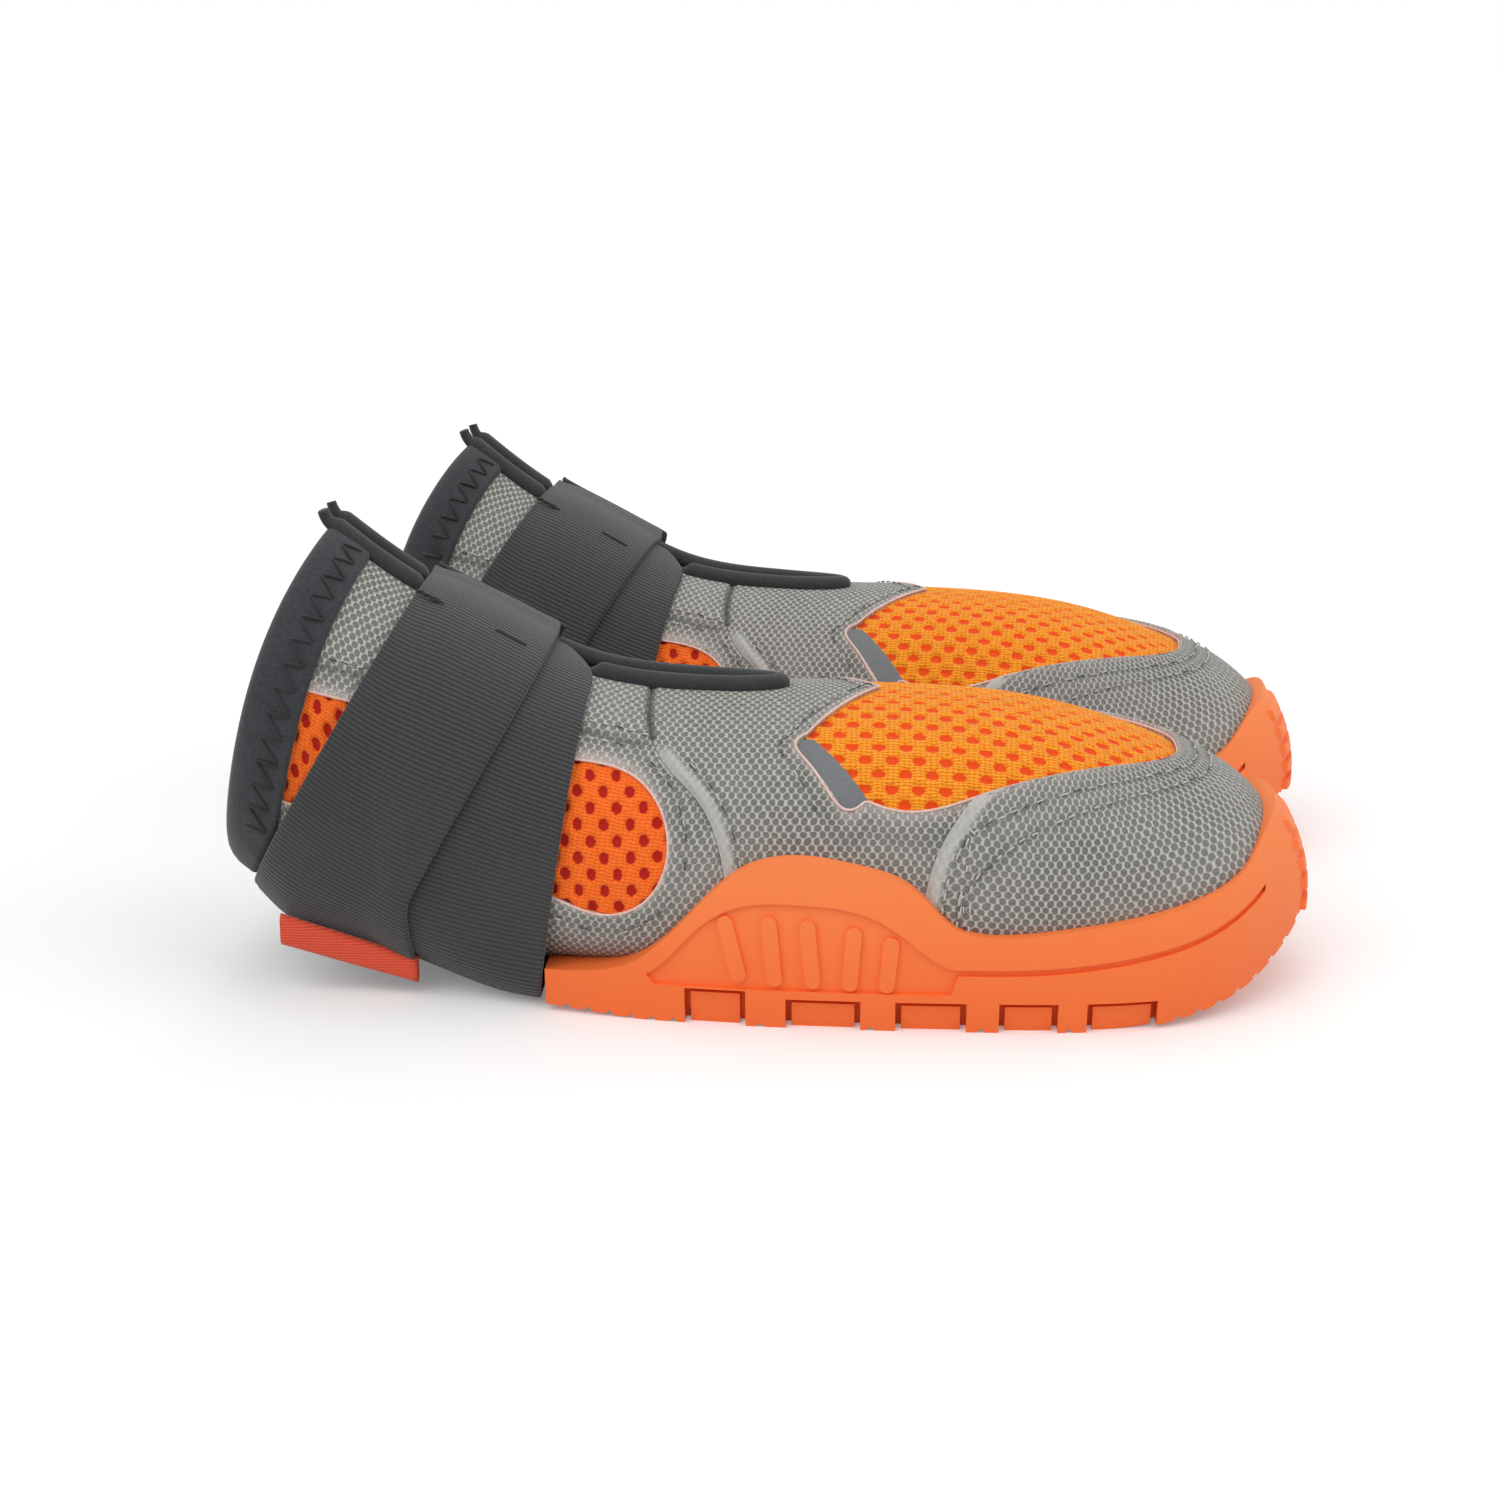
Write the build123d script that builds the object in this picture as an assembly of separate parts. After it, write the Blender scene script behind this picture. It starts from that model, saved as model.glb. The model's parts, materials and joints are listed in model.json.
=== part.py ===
from build123d import *
import os

# A pair of soft dog boots with moulded rubber cup soles.  One boot is built in its own frame
# (toe towards +X, floor at z = 0) and placed twice.  All lengths are in millimetres.

# ---- placing of the pair -------------------------------------------------------------
RIGHT_BOOT_AT = (-5.2, -44.5)
LEFT_BOOT_AT = (4.1, 41.5)
LEFT_TOE_IN = -6.4              # degrees about +Z

# ---- last (the foot shape the upper is pulled over) ----------------------------------
BALL_HALF_WIDTH = 34.0
SHAFT_HALF_WIDTH = 27.5
MOUTH_HALF_WIDTH = 26.0

# ---- layers of the upper, measured inwards and outwards from the panel surface --------
PANEL_T = 1.6
MESH_T = 0.9
PATCH_STRIP_T = 1.1
LINING_T = 1.6
TOE_CAP_RISE = 0.9
GUSSET_T = 1.0
INSOLE_T = 3.0

# ---- strap --------------------------------------------------------------------------
STRAP_WIDTH = 25.0
STRAP_T = 1.3
PATCH_T = 0.8
FLAP_CLEARANCE = 0.3
FLAP_ROOT_Y = 10.0
FLAP_END_Z = 33.0
STITCH_BAR_WIDTH = 6.0

# ---- openings of the upper ------------------------------------------------------------
SLIT_HALF_WIDTH = 1.3
BINDING_WIDTH = 3.2
BINDING_RISE = 1.3
SLIT_TIP_X = 2.0
COLLAR_RISE = 0.9
COLLAR_LINER_T = 1.2
COLLAR_WIDTH = 10.5

# ---- outsole ----------------------------------------------------------------------------
SOLE_HALF_WIDTH = 36.6
SOLE_REAR_X = -35.5
SOLE_TOE_X = 95.0
RECESS_DEPTH = 0.8
RIB_WIDTH = 2.6
NOTCH_DEPTH = 3.4
NOTCH_HEIGHT = 5.4
LUG_SETBACK = 1.3
LUG_SIDE_GAP = 1.0
TREAD_DEPTH = 1.8
TREAD_GROOVE = 2.4
SIPE_PITCH = 3.6
SIPE_WIDTH = 1.1
TOE_LUG_RISE = 0.9
TOE_LUG_HEIGHT = 1.9
TOE_LUG_SPAN = 17.0
TOE_LUG_REACH = 12.0
TOE_LUGS_FROM_Z = 14.5
TOE_LUGS_TO_Z = 29.5

# ---- pull tab -----------------------------------------------------------------------------
TAB_LENGTH = 23.5
TAB_DROP = 4.6
TAB_WIDTH = 2.4
TAB_FALL = 8.2
TAB_PROBES = 6
TAB_RIBBON_T = 0.6
TAB_Y = -22.0

SIDE = Plane.XZ
FAR = 60.0                       # half length of a cutting prism, past every surface

# Stations of the last, heel to toe: crest point, keel point, half width, height share of the
# widest line, fullness of the upper and lower quarters, and how far the end leads a layer
# growing outwards.
STATIONS = [
    ((-86.0, 88.0), (-106.0, 30.0), MOUTH_HALF_WIDTH - 1, 0.50, 0.56, 0.60, 0.0),
    ((-72.5, 77.8), (-92.0, 19.0), MOUTH_HALF_WIDTH, 0.48, 0.56, 0.62, 0.0),
    ((-59.0, 68.2), (-74.0, 8.0), SHAFT_HALF_WIDTH, 0.46, 0.57, 0.68, 0.0),
    ((-45.5, 61.2), (-56.0, 3.8), SHAFT_HALF_WIDTH + 0.5, 0.44, 0.58, 0.74, 0.0),
    ((-31.0, 54.2), (-37.0, 4.0), 29.5, 0.40, 0.59, 0.76, 0.0),
    ((-12.0, 51.2), (-15.0, 5.0), 32.0, 0.32, 0.60, 0.82, 0.0),
    ((8.0, 50.6), (6.0, 5.2), BALL_HALF_WIDTH - 0.5, 0.28, 0.62, 0.84, 0.0),
    ((28.0, 50.4), (27.0, 5.2), BALL_HALF_WIDTH, 0.26, 0.62, 0.84, 0.0),
    ((48.0, 48.4), (48.0, 5.2), BALL_HALF_WIDTH - 0.5, 0.26, 0.62, 0.80, 0.0),
    ((64.0, 44.0), (66.0, 6.2), 31.0, 0.28, 0.61, 0.74, 0.0),
    ((76.0, 39.0), (78.0, 8.8), 26.0, 0.32, 0.60, 0.66, 0.3),
    ((84.5, 33.4), (85.5, 12.3), 18.5, 0.40, 0.58, 0.60, 0.6),
    ((89.0, 27.0), (89.2, 16.6), 9.5, 0.46, 0.56, 0.56, 1.0),
]


def station_face(station, grow):
    """One cross-section of the last, grown outwards by a layer thickness."""
    crest, keel, half_width, waist, full_top, full_bottom, lead = station
    crest = Vector(crest[0], 0, crest[1])
    keel = Vector(keel[0], 0, keel[1])
    up = (crest - keel).normalized()
    height = (crest - keel).length
    centre = keel + up * (height * waist) + Vector(lead * grow, 0, 0)
    side = half_width + grow
    above = height * (1 - waist) + grow
    below = height * waist + grow

    def at(across, along):
        return centre + Vector(0, across, 0) + up * along

    def quarter(y, z, full):
        return Bezier(at(0, z), at(full * y, z), at(y, full * z), at(y, 0))

    edges = [
        quarter(side, above, full_top),
        quarter(side, -below, full_bottom),
        quarter(-side, -below, full_bottom),
        quarter(-side, above, full_top),
    ]
    return Face(Wire(edges))


LASTS = {}


def last(grow):
    """The solid inside a surface that lies `grow` outside the panels."""
    if grow not in LASTS:
        LASTS[grow] = Solid.make_loft([station_face(s, grow).outer_wire() for s in STATIONS])
    return LASTS[grow]


# ---- side-view and plan-view cutters -----------------------------------------------------

def xz(points):
    """Points (x, z) in the middle plane of the boot."""
    return [Vector(x, 0, z) for x, z in points]


def xy(points):
    """Points (x, y) on the floor."""
    return [Vector(x, y, 0) for x, y in points]


def across(*edges):
    """A prism running across the boot, from a closed side-view outline."""
    return extrude(make_face(edges), FAR, dir=(0, 1, 0), both=True)


def upright(z_low, *edges):
    """A prism standing on height z_low, from a closed plan outline."""
    return Pos(0, 0, z_low) * extrude(make_face(edges), 2 * FAR, dir=(0, 0, 1))


SHELLS = {}


def shell(outer, inner):
    """The layer between two surfaces of the last."""
    if (outer, inner) not in SHELLS:
        SHELLS[outer, inner] = last(outer) - last(inner)
    return SHELLS[outer, inner]


# ---- collar ------------------------------------------------------------------------------
RIM = [(-98.5, 8.0), (-91.2, 32.5), (-85.6, 53.8), (-66.0, 92.0)]


def behind(offset):
    """Everything behind a line parallel to the rim, `offset` in front of it."""
    curve = Spline(*xz([(x + offset, z) for x, z in RIM]))
    low, high = curve @ 0, curve @ 1
    corner_low = Vector(low.X - FAR, 0, low.Z)
    corner_high = Vector(high.X - FAR, 0, high.Z)
    return across(curve, Polyline(high, corner_high, corner_low, low))


BEYOND_RIM = behind(0.0)
COLLAR_ZONE = behind(COLLAR_WIDTH)


# ---- throat slit -----------------------------------------------------------------------------

def teardrop(half_width, tip_x, z_low):
    """A plan region round the slit, from behind the collar to its pointed end."""
    near = xy([(-100, -half_width), (tip_x - 22, -half_width), (tip_x, 0)])
    far = xy([(tip_x, 0), (tip_x - 22, half_width), (-100, half_width)])
    rear = Line(far[-1], near[0])
    front = Spline(near[1], near[2], tangents=[(1, 0, 0), (1, 0.9, 0)])
    front_far = Spline(far[0], far[1], tangents=[(-1, 0.9, 0), (-1, 0, 0)])
    return upright(z_low, Line(near[0], near[1]), front, front_far, Line(far[1], far[2]), rear)


ABOVE_THROAT = 40.0
SLIT = teardrop(SLIT_HALF_WIDTH, SLIT_TIP_X - 4, ABOVE_THROAT)
THROAT = teardrop(SLIT_HALF_WIDTH + BINDING_WIDTH, SLIT_TIP_X + 2.5, ABOVE_THROAT)


# ---- outsole -------------------------------------------------------------------------------

# height, how far the wall stands in, and where the toe ends, from the floor up
SOLE_LEVELS = [
    (-1.0, 1.8, -4.0),
    (5.0, 0.6, -1.5),
    (13.0, 0.0, 0.0),
    (21.0, 0.3, -0.4),
    (28.0, 0.9, -2.8),
    (34.5, 1.8, -6.5),
]
# plan outline: x and share of the half width
SOLE_PLAN = [(SOLE_REAR_X, 0.81), (-15.0, 0.925), (10.0, 0.99), (38.0, 1.0),
             (60.0, 0.96), (73.0, 0.86), (82.5, 0.68), (90.5, 0.41)]
TOE_STRETCH_FROM = 45.0


def sole_section(z, inset, toe_shift):
    """Near half of the rubber's plan outline at one height."""
    half_width = SOLE_HALF_WIDTH - inset
    toe_x = SOLE_TOE_X + toe_shift
    stretch = (toe_x - TOE_STRETCH_FROM) / (SOLE_TOE_X - TOE_STRETCH_FROM)

    def place(x, share):
        if x > TOE_STRETCH_FROM:
            x = TOE_STRETCH_FROM + (x - TOE_STRETCH_FROM) * stretch
        return Vector(x, -share * half_width, z)

    wall = Spline(*[place(x, share) for x, share in SOLE_PLAN], Vector(toe_x, 0, z),
                  tangents=[(1, -0.22, 0), (0, 1, 0)])
    rear_middle = Vector(SOLE_REAR_X, 0, z)
    return Wire([wall, Line(wall @ 1, rear_middle), Line(rear_middle, wall @ 0)])


def half_sole_form(inset):
    """Near half of the rubber's outer form, with its wall set in."""
    sections = [sole_section(z, stand_in + inset, toe - inset) for z, stand_in, toe in SOLE_LEVELS]
    return Solid.make_loft(sections)


FLOOR_REAR_X = -20.0
FLOOR_TOE_X = 58.0
TOE_SPRING = [(FLOOR_TOE_X, 0.0), (74.0, 1.8), (84.0, 4.8), (91.0, 10.0), (97.0, 19.0)]
TOP_EDGE = [(98.0, 33.0), (88.5, 32.3), (85.2, 29.2), (82.0, 25.6), (76.0, 22.6), (65.5, 20.0),
            (49.0, 17.7), (38.5, 17.2), (33.5, 18.6), (30.0, 21.8), (25.0, 25.9), (17.5, 28.2),
            (6.0, 29.5), (-2.0, 27.4), (-8.7, 21.6), (-15.5, 14.4), (-21.0, 10.2), (-28.0, 8.3),
            (SOLE_REAR_X - 1.0, 7.8)]
SOLE_REAR_RISE = 1.4


def sole_profile():
    """The side-view band between the ground line and the top edge."""
    rear_low = Vector(SOLE_REAR_X - 1.0, 0, SOLE_REAR_RISE)
    floor_rear = Vector(FLOOR_REAR_X, 0, 0)
    floor_toe = Vector(FLOOR_TOE_X, 0, 0)
    top = Spline(*xz(TOP_EDGE))
    spring = Spline(*xz(TOE_SPRING), tangents=[(1, 0, 0), (0.4, 0, 1)])
    return across(
        Line(rear_low, floor_rear),
        Line(floor_rear, floor_toe),
        spring,
        Line(spring @ 1, top @ 0),
        top,
        Line(top @ 1, rear_low),
    )


FIELD_EDGE = [(-18.0, 8.6), (-14.0, 12.0), (-8.6, 17.8), (-2.5, 21.2), (7.9, 22.0),
              (19.0, 20.4), (25.0, 17.0), (29.5, 13.4), (34.4, 11.2)]
FIELD_FLOOR = 6.9
# top and bottom centre of each raised rib on the side of the hump
RIBS = [((-2.4, 18.4), (-4.6, 9.6)), ((3.6, 18.6), (2.7, 9.0)), ((10.0, 18.2), (9.1, 8.8)),
        ((16.2, 17.2), (16.8, 8.6)), ((22.3, 15.6), (23.0, 8.4))]
# front groove that carries the hump's border on to the toe
BORDER_GROOVE = [(33.0, 11.5), (49.0, 11.8), (65.0, 13.8), (78.0, 17.4), (86.0, 22.0)]
BORDER_GROOVE_WIDTH = 1.1
# start, end and height of each notch in the lower edge
NOTCHES = [(-11.5, -1.2, 6.6), (5.5, 18.0, NOTCH_HEIGHT), (23.8, 35.6, NOTCH_HEIGHT),
           (41.0, 50.8, NOTCH_HEIGHT), (55.6, 67.4, NOTCH_HEIGHT)]


def rib(top, bottom):
    """A round-ended rib standing on the side of the hump."""
    middle = ((top[0] + bottom[0]) / 2, (top[1] + bottom[1]) / 2)
    run = Vector(top[0] - bottom[0], top[1] - bottom[1], 0)
    turn = run.get_signed_angle(Vector(0, 1, 0)) * -1
    sketch = Pos(*middle) * Rot(0, 0, turn + 90) * SlotCenterToCenter(run.length, RIB_WIDTH)
    return extrude(SIDE * sketch, FAR, both=True)


def hump_field():
    """The sunk field inside the hump's border, with the ribs left standing."""
    edge = Spline(*xz(FIELD_EDGE))
    rear, front = edge @ 0, edge @ 1
    low_rear = Vector(rear.X + 1.5, 0, FIELD_FLOOR)
    low_front = Vector(front.X - 1.5, 0, FIELD_FLOOR)
    field = across(edge, Polyline(front, low_front, low_rear, rear))
    for top, bottom in RIBS:
        field -= rib(top, bottom)
    return field


def border_groove():
    """A narrow groove along the side, parallel to the top edge."""
    upper = Spline(*xz(BORDER_GROOVE))
    lower = Spline(*xz([(x, z - BORDER_GROOVE_WIDTH) for x, z in BORDER_GROOVE]))
    return across(upper, lower, Line(upper @ 0, lower @ 0), Line(upper @ 1, lower @ 1))


def notch(start, end, height, margin):
    """A block in the lower edge, `margin` smaller than the notch all round."""
    length = end - start - 2 * margin
    top = height - margin
    return Pos((start + end) / 2, 0, top / 2 - 2) * Box(length, 2 * FAR, top + 4)


def chevron(x, half_span):
    """A V-shaped tread groove, cut into the ground face."""
    sweep_back = half_span * 0.22
    front = xy([(x - sweep_back, -half_span), (x, 0), (x - sweep_back, half_span)])
    rear = [Vector(p.X - TREAD_GROOVE, p.Y, 0) for p in reversed(front)]
    outline = Polyline(*front, *rear, close=True)
    return Pos(0, 0, -2) * extrude(make_face(outline), TREAD_DEPTH + 2, dir=(0, 0, 1))


def ground_line():
    """Ground face of the tread in side view, heel to toe."""
    flat = Line(Vector(SOLE_REAR_X, 0, SOLE_REAR_RISE), Vector(FLOOR_REAR_X, 0, 0))
    floor = Line(flat @ 1, Vector(FLOOR_TOE_X, 0, 0))
    spring = Spline(*xz(TOE_SPRING), tangents=[(1, 0, 0), (0.4, 0, 1)])
    return Wire([flat, floor, spring])


def sipes():
    """Small nicks across the ground face, between the notches, that leave a row of teeth."""
    line = ground_line()
    count = int(line.length / SIPE_PITCH)
    cuts = []
    for i in range(1, count):
        p = line.position_at(i / count)
        if any(start - SIPE_WIDTH < p.X < end + SIPE_WIDTH for start, end, _ in NOTCHES):
            continue
        cuts.append(Pos(p.X, 0, p.Z) * Rot(0, 45, 0) * Box(SIPE_WIDTH, 2 * FAR, SIPE_WIDTH))
    return cuts


def notch_cutters():
    """What the notches take out of the wall, leaving a tread lug set back in each."""
    mouths = [notch(*size, 0) for size in NOTCHES]
    frames = [notch(*size, 0) - notch(*size, LUG_SIDE_GAP) for size in NOTCHES]
    mouth_floor = half_sole_form(LUG_SETBACK)
    frame_floor = half_sole_form(NOTCH_DEPTH)
    near = Pos(0, -FAR, 0) * Box(4 * FAR, 2 * FAR, 2 * FAR)
    cutters = [(mouth & near) - mouth_floor for mouth in mouths]
    return cutters + [(frame & near) - frame_floor for frame in frames]


def toe_lugs():
    """Low bars that climb the middle of the toe (near half)."""
    count = int((TOE_LUGS_TO_Z - TOE_LUGS_FROM_Z) / SIPE_PITCH)
    form = half_sole_form(-TOE_LUG_RISE)
    bar = Box(TOE_LUG_REACH, TOE_LUG_SPAN, TOE_LUG_HEIGHT)
    heights = [TOE_LUGS_FROM_Z + SIPE_PITCH * i for i in range(count + 1)]
    return [Pos(SOLE_TOE_X, 0, z) * bar & form for z in heights]


def outsole():
    near = Pos(0, -FAR, 0) * Box(4 * FAR, 2 * FAR, 2 * FAR)
    field_floor = half_sole_form(RECESS_DEPTH)
    rubber = (half_sole_form(0.0) & sole_profile()) - last(0.0)
    cutters = [(hump_field() & near) - field_floor, (border_groove() & near) - field_floor]
    cutters += notch_cutters()
    channel_half = SOLE_HALF_WIDTH - NOTCH_DEPTH - 3
    cutters += [chevron((start + end) / 2 + 4.5, channel_half) for start, end, _ in NOTCHES]
    cutters += sipes()
    half = (rubber - cutters) + toe_lugs()
    return half + mirror(half, about=Plane.XZ)


# ---- panels of the upper ---------------------------------------------------------------------

WINDOW_CORNERS = [(-79.0, 55.8), (-21.5, 42.8), (-12.8, 33.0), (-25.0, 14.8), (-84.5, 37.0)]
WINDOW_ROUNDING = [2.0, 7.0, 7.0, 8.0, 3.0]
QUARTER_FRONT = [(-17.5, 64.0), (-18.8, 50.0), (-16.4, 43.6), (-9.5, 37.2), (-5.5, 28.5),
                 (-4.5, 15.0), (-4.5, -6.0)]
TOE_CAP_REAR = [(45.0, 60.0), (39.5, 42.0), (33.6, 35.3), (30.1, 29.3), (28.3, 22.0), (28.0, -6.0)]
VAMP_CORNERS = [(20.4, 0.0), (8.3, -17.9), (18.5, -28.0)]
VAMP_FRONT = [(18.5, -28.0), (35.0, -27.6), (41.5, -25.6), (51.0, -22.2), (61.0, -17.2),
              (68.6, -11.2), (72.2, 0.0)]
VAMP_PATCH = [(8.3, -17.9), (18.5, -28.0), (14.5, -30.5), (6.0, -20.5)]
ABOVE_VAMP = 30.0
BOARD_LINE = [(SOLE_REAR_X, 6.2), (-15.0, 7.2), (6.0, 7.4), (48.0, 7.4), (66.0, 8.4),
              (78.0, 11.0), (86.0, 14.8), (96.0, 21.0)]


def ahead_of(points):
    """Everything in front of a side-view curve given from the crest to the keel."""
    curve = Spline(*xz(points))
    high, low = curve @ 0, curve @ 1
    return across(curve, Polyline(low, Vector(low.X + 2 * FAR, 0, low.Z),
                                  Vector(low.X + 2 * FAR, 0, high.Z), high))


def window():
    """The side window."""
    outline = Polyline(*WINDOW_CORNERS, close=True)
    sketch = make_face(outline)
    for corner, radius in zip(WINDOW_CORNERS, WINDOW_ROUNDING):
        vertex = sketch.vertices().sort_by_distance(Vector(*corner, 0))[0]
        sketch = fillet(vertex, radius)
    return extrude(SIDE * sketch, FAR, both=True)


def vamp_window():
    """The opening over the toes."""
    corners = Polyline(*xy(VAMP_CORNERS))
    front = Spline(*xy(VAMP_FRONT), tangents=[(1, 0.1, 0), (0, 1, 0)])
    half = make_face([corners, front, Line(front @ 1, corners @ 0)])
    block = Pos(0, 0, ABOVE_VAMP) * extrude(half, 2 * FAR, dir=(0, 0, 1))
    return block + mirror(block, about=Plane.XZ)


def vamp_patch_zone():
    """The two strips that show between the saddle's edge and the vamp mesh."""
    strip = make_face(Polyline(*xy(VAMP_PATCH), close=True))
    block = Pos(0, 0, ABOVE_VAMP) * extrude(strip, 2 * FAR, dir=(0, 0, 1))
    return block + mirror(block, about=Plane.XZ)


def below_board_line(raise_by):
    """The bottom of the boot under a line that follows the lasting board."""
    points = xz([(x, z + raise_by) for x, z in BOARD_LINE])
    floor = xz([(points[-1].X, -10.0), (points[0].X, -10.0)])
    return across(Spline(*points), Polyline(points[-1], *floor, points[0]))


BOARD_ZONE = below_board_line(0.0)
FRONT_ZONE = ahead_of(QUARTER_FRONT)
TOE_ZONE = ahead_of(TOE_CAP_REAR)
NEAR_SIDE = Pos(0, -FAR, 0) * Box(6 * FAR, 2 * FAR, 6 * FAR)


WINDOW = window()
VAMP_WINDOW = vamp_window()
PATCH_ZONE = vamp_patch_zone()
LINING_FACE = -PANEL_T - LINING_T


def lining():
    return shell(-PANEL_T, LINING_FACE) - [COLLAR_ZONE, THROAT]


def vamp_mesh():
    return shell(-PANEL_T + MESH_T, -PANEL_T) & VAMP_WINDOW


def side_mesh():
    return (shell(-PANEL_T + MESH_T, -PANEL_T) & WINDOW) - COLLAR_ZONE


def quarter_panel():
    return shell(0.0, -PANEL_T) - [COLLAR_ZONE, FRONT_ZONE, THROAT, BOARD_ZONE, WINDOW]


def saddle_panel():
    layer = shell(0.0, -PANEL_T) & FRONT_ZONE
    return layer - [TOE_ZONE, THROAT, BOARD_ZONE, VAMP_WINDOW, PATCH_ZONE]


def vamp_patch():
    return (shell(-PANEL_T + PATCH_STRIP_T, -PANEL_T) & PATCH_ZONE) - [TOE_ZONE, VAMP_WINDOW]


def toe_cap():
    tucked = (shell(0.0, -PANEL_T) & TOE_ZONE) - [VAMP_WINDOW, BOARD_ZONE]
    raised = (shell(TOE_CAP_RISE, 0.0) & TOE_ZONE) - [VAMP_WINDOW, sole_profile()]
    return tucked + raised


def lasting_board():
    return shell(0.0, -PANEL_T) & BOARD_ZONE


def insole():
    return last(LINING_FACE) & below_board_line(INSOLE_T)


# ---- throat and collar -------------------------------------------------------------------------
BINDING_TAIL = 3.5


def throat_binding():
    low = shell(0.0, LINING_FACE) & THROAT
    rolled = (shell(BINDING_RISE, 0.0) & THROAT) - STRAP_ZONE
    return (low + rolled) - [SLIT, behind(-BINDING_TAIL)]


def throat_gusset():
    width = SLIT_HALF_WIDTH + BINDING_WIDTH + 3
    zone = teardrop(width, SLIT_TIP_X + 8, ABOVE_THROAT)
    return (shell(LINING_FACE, LINING_FACE - GUSSET_T) & zone) - COLLAR_ZONE


def collar():
    """The padded band round the mouth, pressed flat where the strap crosses it."""
    padded = shell(COLLAR_RISE, LINING_FACE - COLLAR_LINER_T) & COLLAR_ZONE
    pressed = shell(COLLAR_RISE, 0.0) & STRAP_ZONE
    return padded - [BEYOND_RIM, THROAT, pressed]


# ---- strap ---------------------------------------------------------------------------------------
INNER_EDGE = ((-28.7, 54.7), (-35.4, 11.0))      # front edge of the first turn, near side
OUTER_EDGE = ((-34.3, 60.6), (-59.0, 18.6))      # front edge of the second turn


def strap_run(front_edge, inset):
    """A band across the boot behind a straight side-view edge."""
    (x1, z1), (x2, z2) = front_edge
    edge = Vector(x2 - x1, 0, z2 - z1).normalized()
    back = Vector(edge.Z, 0, -edge.X)
    middle = Vector((x1 + x2) / 2, 0, (z1 + z2) / 2)
    corners = [
        middle - edge * FAR + back * inset,
        middle + edge * FAR + back * inset,
        middle + edge * FAR + back * (STRAP_WIDTH - inset),
        middle - edge * FAR + back * (STRAP_WIDTH - inset),
    ]
    return across(Polyline(*corners, close=True))


FIRST_RUN = strap_run(INNER_EDGE, 0.0)
SECOND_RUN = strap_run(OUTER_EDGE, 0.0)
STRAP_ZONE = FIRST_RUN + SECOND_RUN
FLAP_BASE = STRAP_T + PATCH_T + FLAP_CLEARANCE + PATCH_T
FLAP_TOP = FLAP_BASE + STRAP_T


def far_of(y, above):
    """Everything further across than y and higher than a level."""
    return Pos(0, y + FAR, above + FAR) * Box(6 * FAR, 2 * FAR, 2 * FAR)


def strap_first_turn():
    layer = shell(STRAP_T, 0.0)
    return (layer & FIRST_RUN & NEAR_SIDE) + ((layer & SECOND_RUN) - NEAR_SIDE)


def strap_second_turn(first_turn):
    top_of_crest = far_of(0.0, ABOVE_THROAT) - far_of(FLAP_ROOT_Y - FLAP_CLEARANCE, ABOVE_THROAT)
    band = shell(2 * STRAP_T, 0.0) & SECOND_RUN & (NEAR_SIDE + top_of_crest)
    bar_zone = top_of_crest & far_of(FLAP_ROOT_Y - FLAP_CLEARANCE - STITCH_BAR_WIDTH, ABOVE_THROAT)
    bar = shell(FLAP_TOP, 0.0) & SECOND_RUN & bar_zone
    return band + bar - first_turn


def loop_patch():
    zone = strap_run(OUTER_EDGE, 2.0) & far_of(FLAP_ROOT_Y + 3, FLAP_END_Z + 1)
    return shell(STRAP_T + PATCH_T, STRAP_T) & zone


def hook_patch():
    zone = strap_run(OUTER_EDGE, 2.0) & far_of(FLAP_ROOT_Y + 3, FLAP_END_Z + 1)
    return shell(FLAP_BASE, FLAP_BASE - PATCH_T) & zone


def strap_flap():
    return shell(FLAP_TOP, FLAP_BASE) & SECOND_RUN & far_of(FLAP_ROOT_Y, FLAP_END_Z)


# ---- pull tab ---------------------------------------------------------------------------------------
TAB_FROM_X = -82.0


def underside(x, y, grow):
    """Height of a layer's underside above a point of the floor."""
    return (last(grow) & Pos(x, y, 0) * Box(0.2, 0.2, 4 * FAR)).bounding_box().min.Z


def pull_tab():
    """A folded ribbon that hangs in a straight run below the heel, open at both ends."""
    inner_y = TAB_Y + TAB_WIDTH / 2
    spots = [step / TAB_PROBES for step in range(TAB_PROBES + 1)]
    rests = [
        underside(TAB_FROM_X + TAB_LENGTH * spot, inner_y, 2 * STRAP_T) + TAB_FALL * spot
        for spot in spots
    ]
    top_z = min(rests) - FLAP_CLEARANCE
    outer = SlotOverall(TAB_DROP, TAB_WIDTH, rotation=90)
    inner = SlotOverall(TAB_DROP - 2 * TAB_RIBBON_T, TAB_WIDTH - 2 * TAB_RIBBON_T, rotation=90)
    run = Vector(TAB_LENGTH, 0, -TAB_FALL)
    ribbon = extrude(Plane.YZ * (outer - inner), run.length, dir=run.normalized())
    return Pos(TAB_FROM_X, TAB_Y, top_z - TAB_DROP / 2) * ribbon


# ---- the pair -----------------------------------------------------------------------------------------

def boot():
    """Every piece of one boot, by name."""
    first_turn = strap_first_turn()
    return {
        "outsole": outsole(),
        "lasting_board": lasting_board(),
        "insole": insole(),
        "lining": lining(),
        "vamp_mesh": vamp_mesh(),
        "side_mesh": side_mesh(),
        "quarter_panel": quarter_panel(),
        "saddle_panel": saddle_panel(),
        "vamp_patch": vamp_patch(),
        "toe_cap": toe_cap(),
        "throat_binding": throat_binding(),
        "throat_gusset": throat_gusset(),
        "collar": collar(),
        "strap_first_turn": first_turn,
        "strap_second_turn": strap_second_turn(first_turn),
        "loop_patch": loop_patch(),
        "hook_patch": hook_patch(),
        "strap_flap": strap_flap(),
        "pull_tab": pull_tab(),
    }


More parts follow.
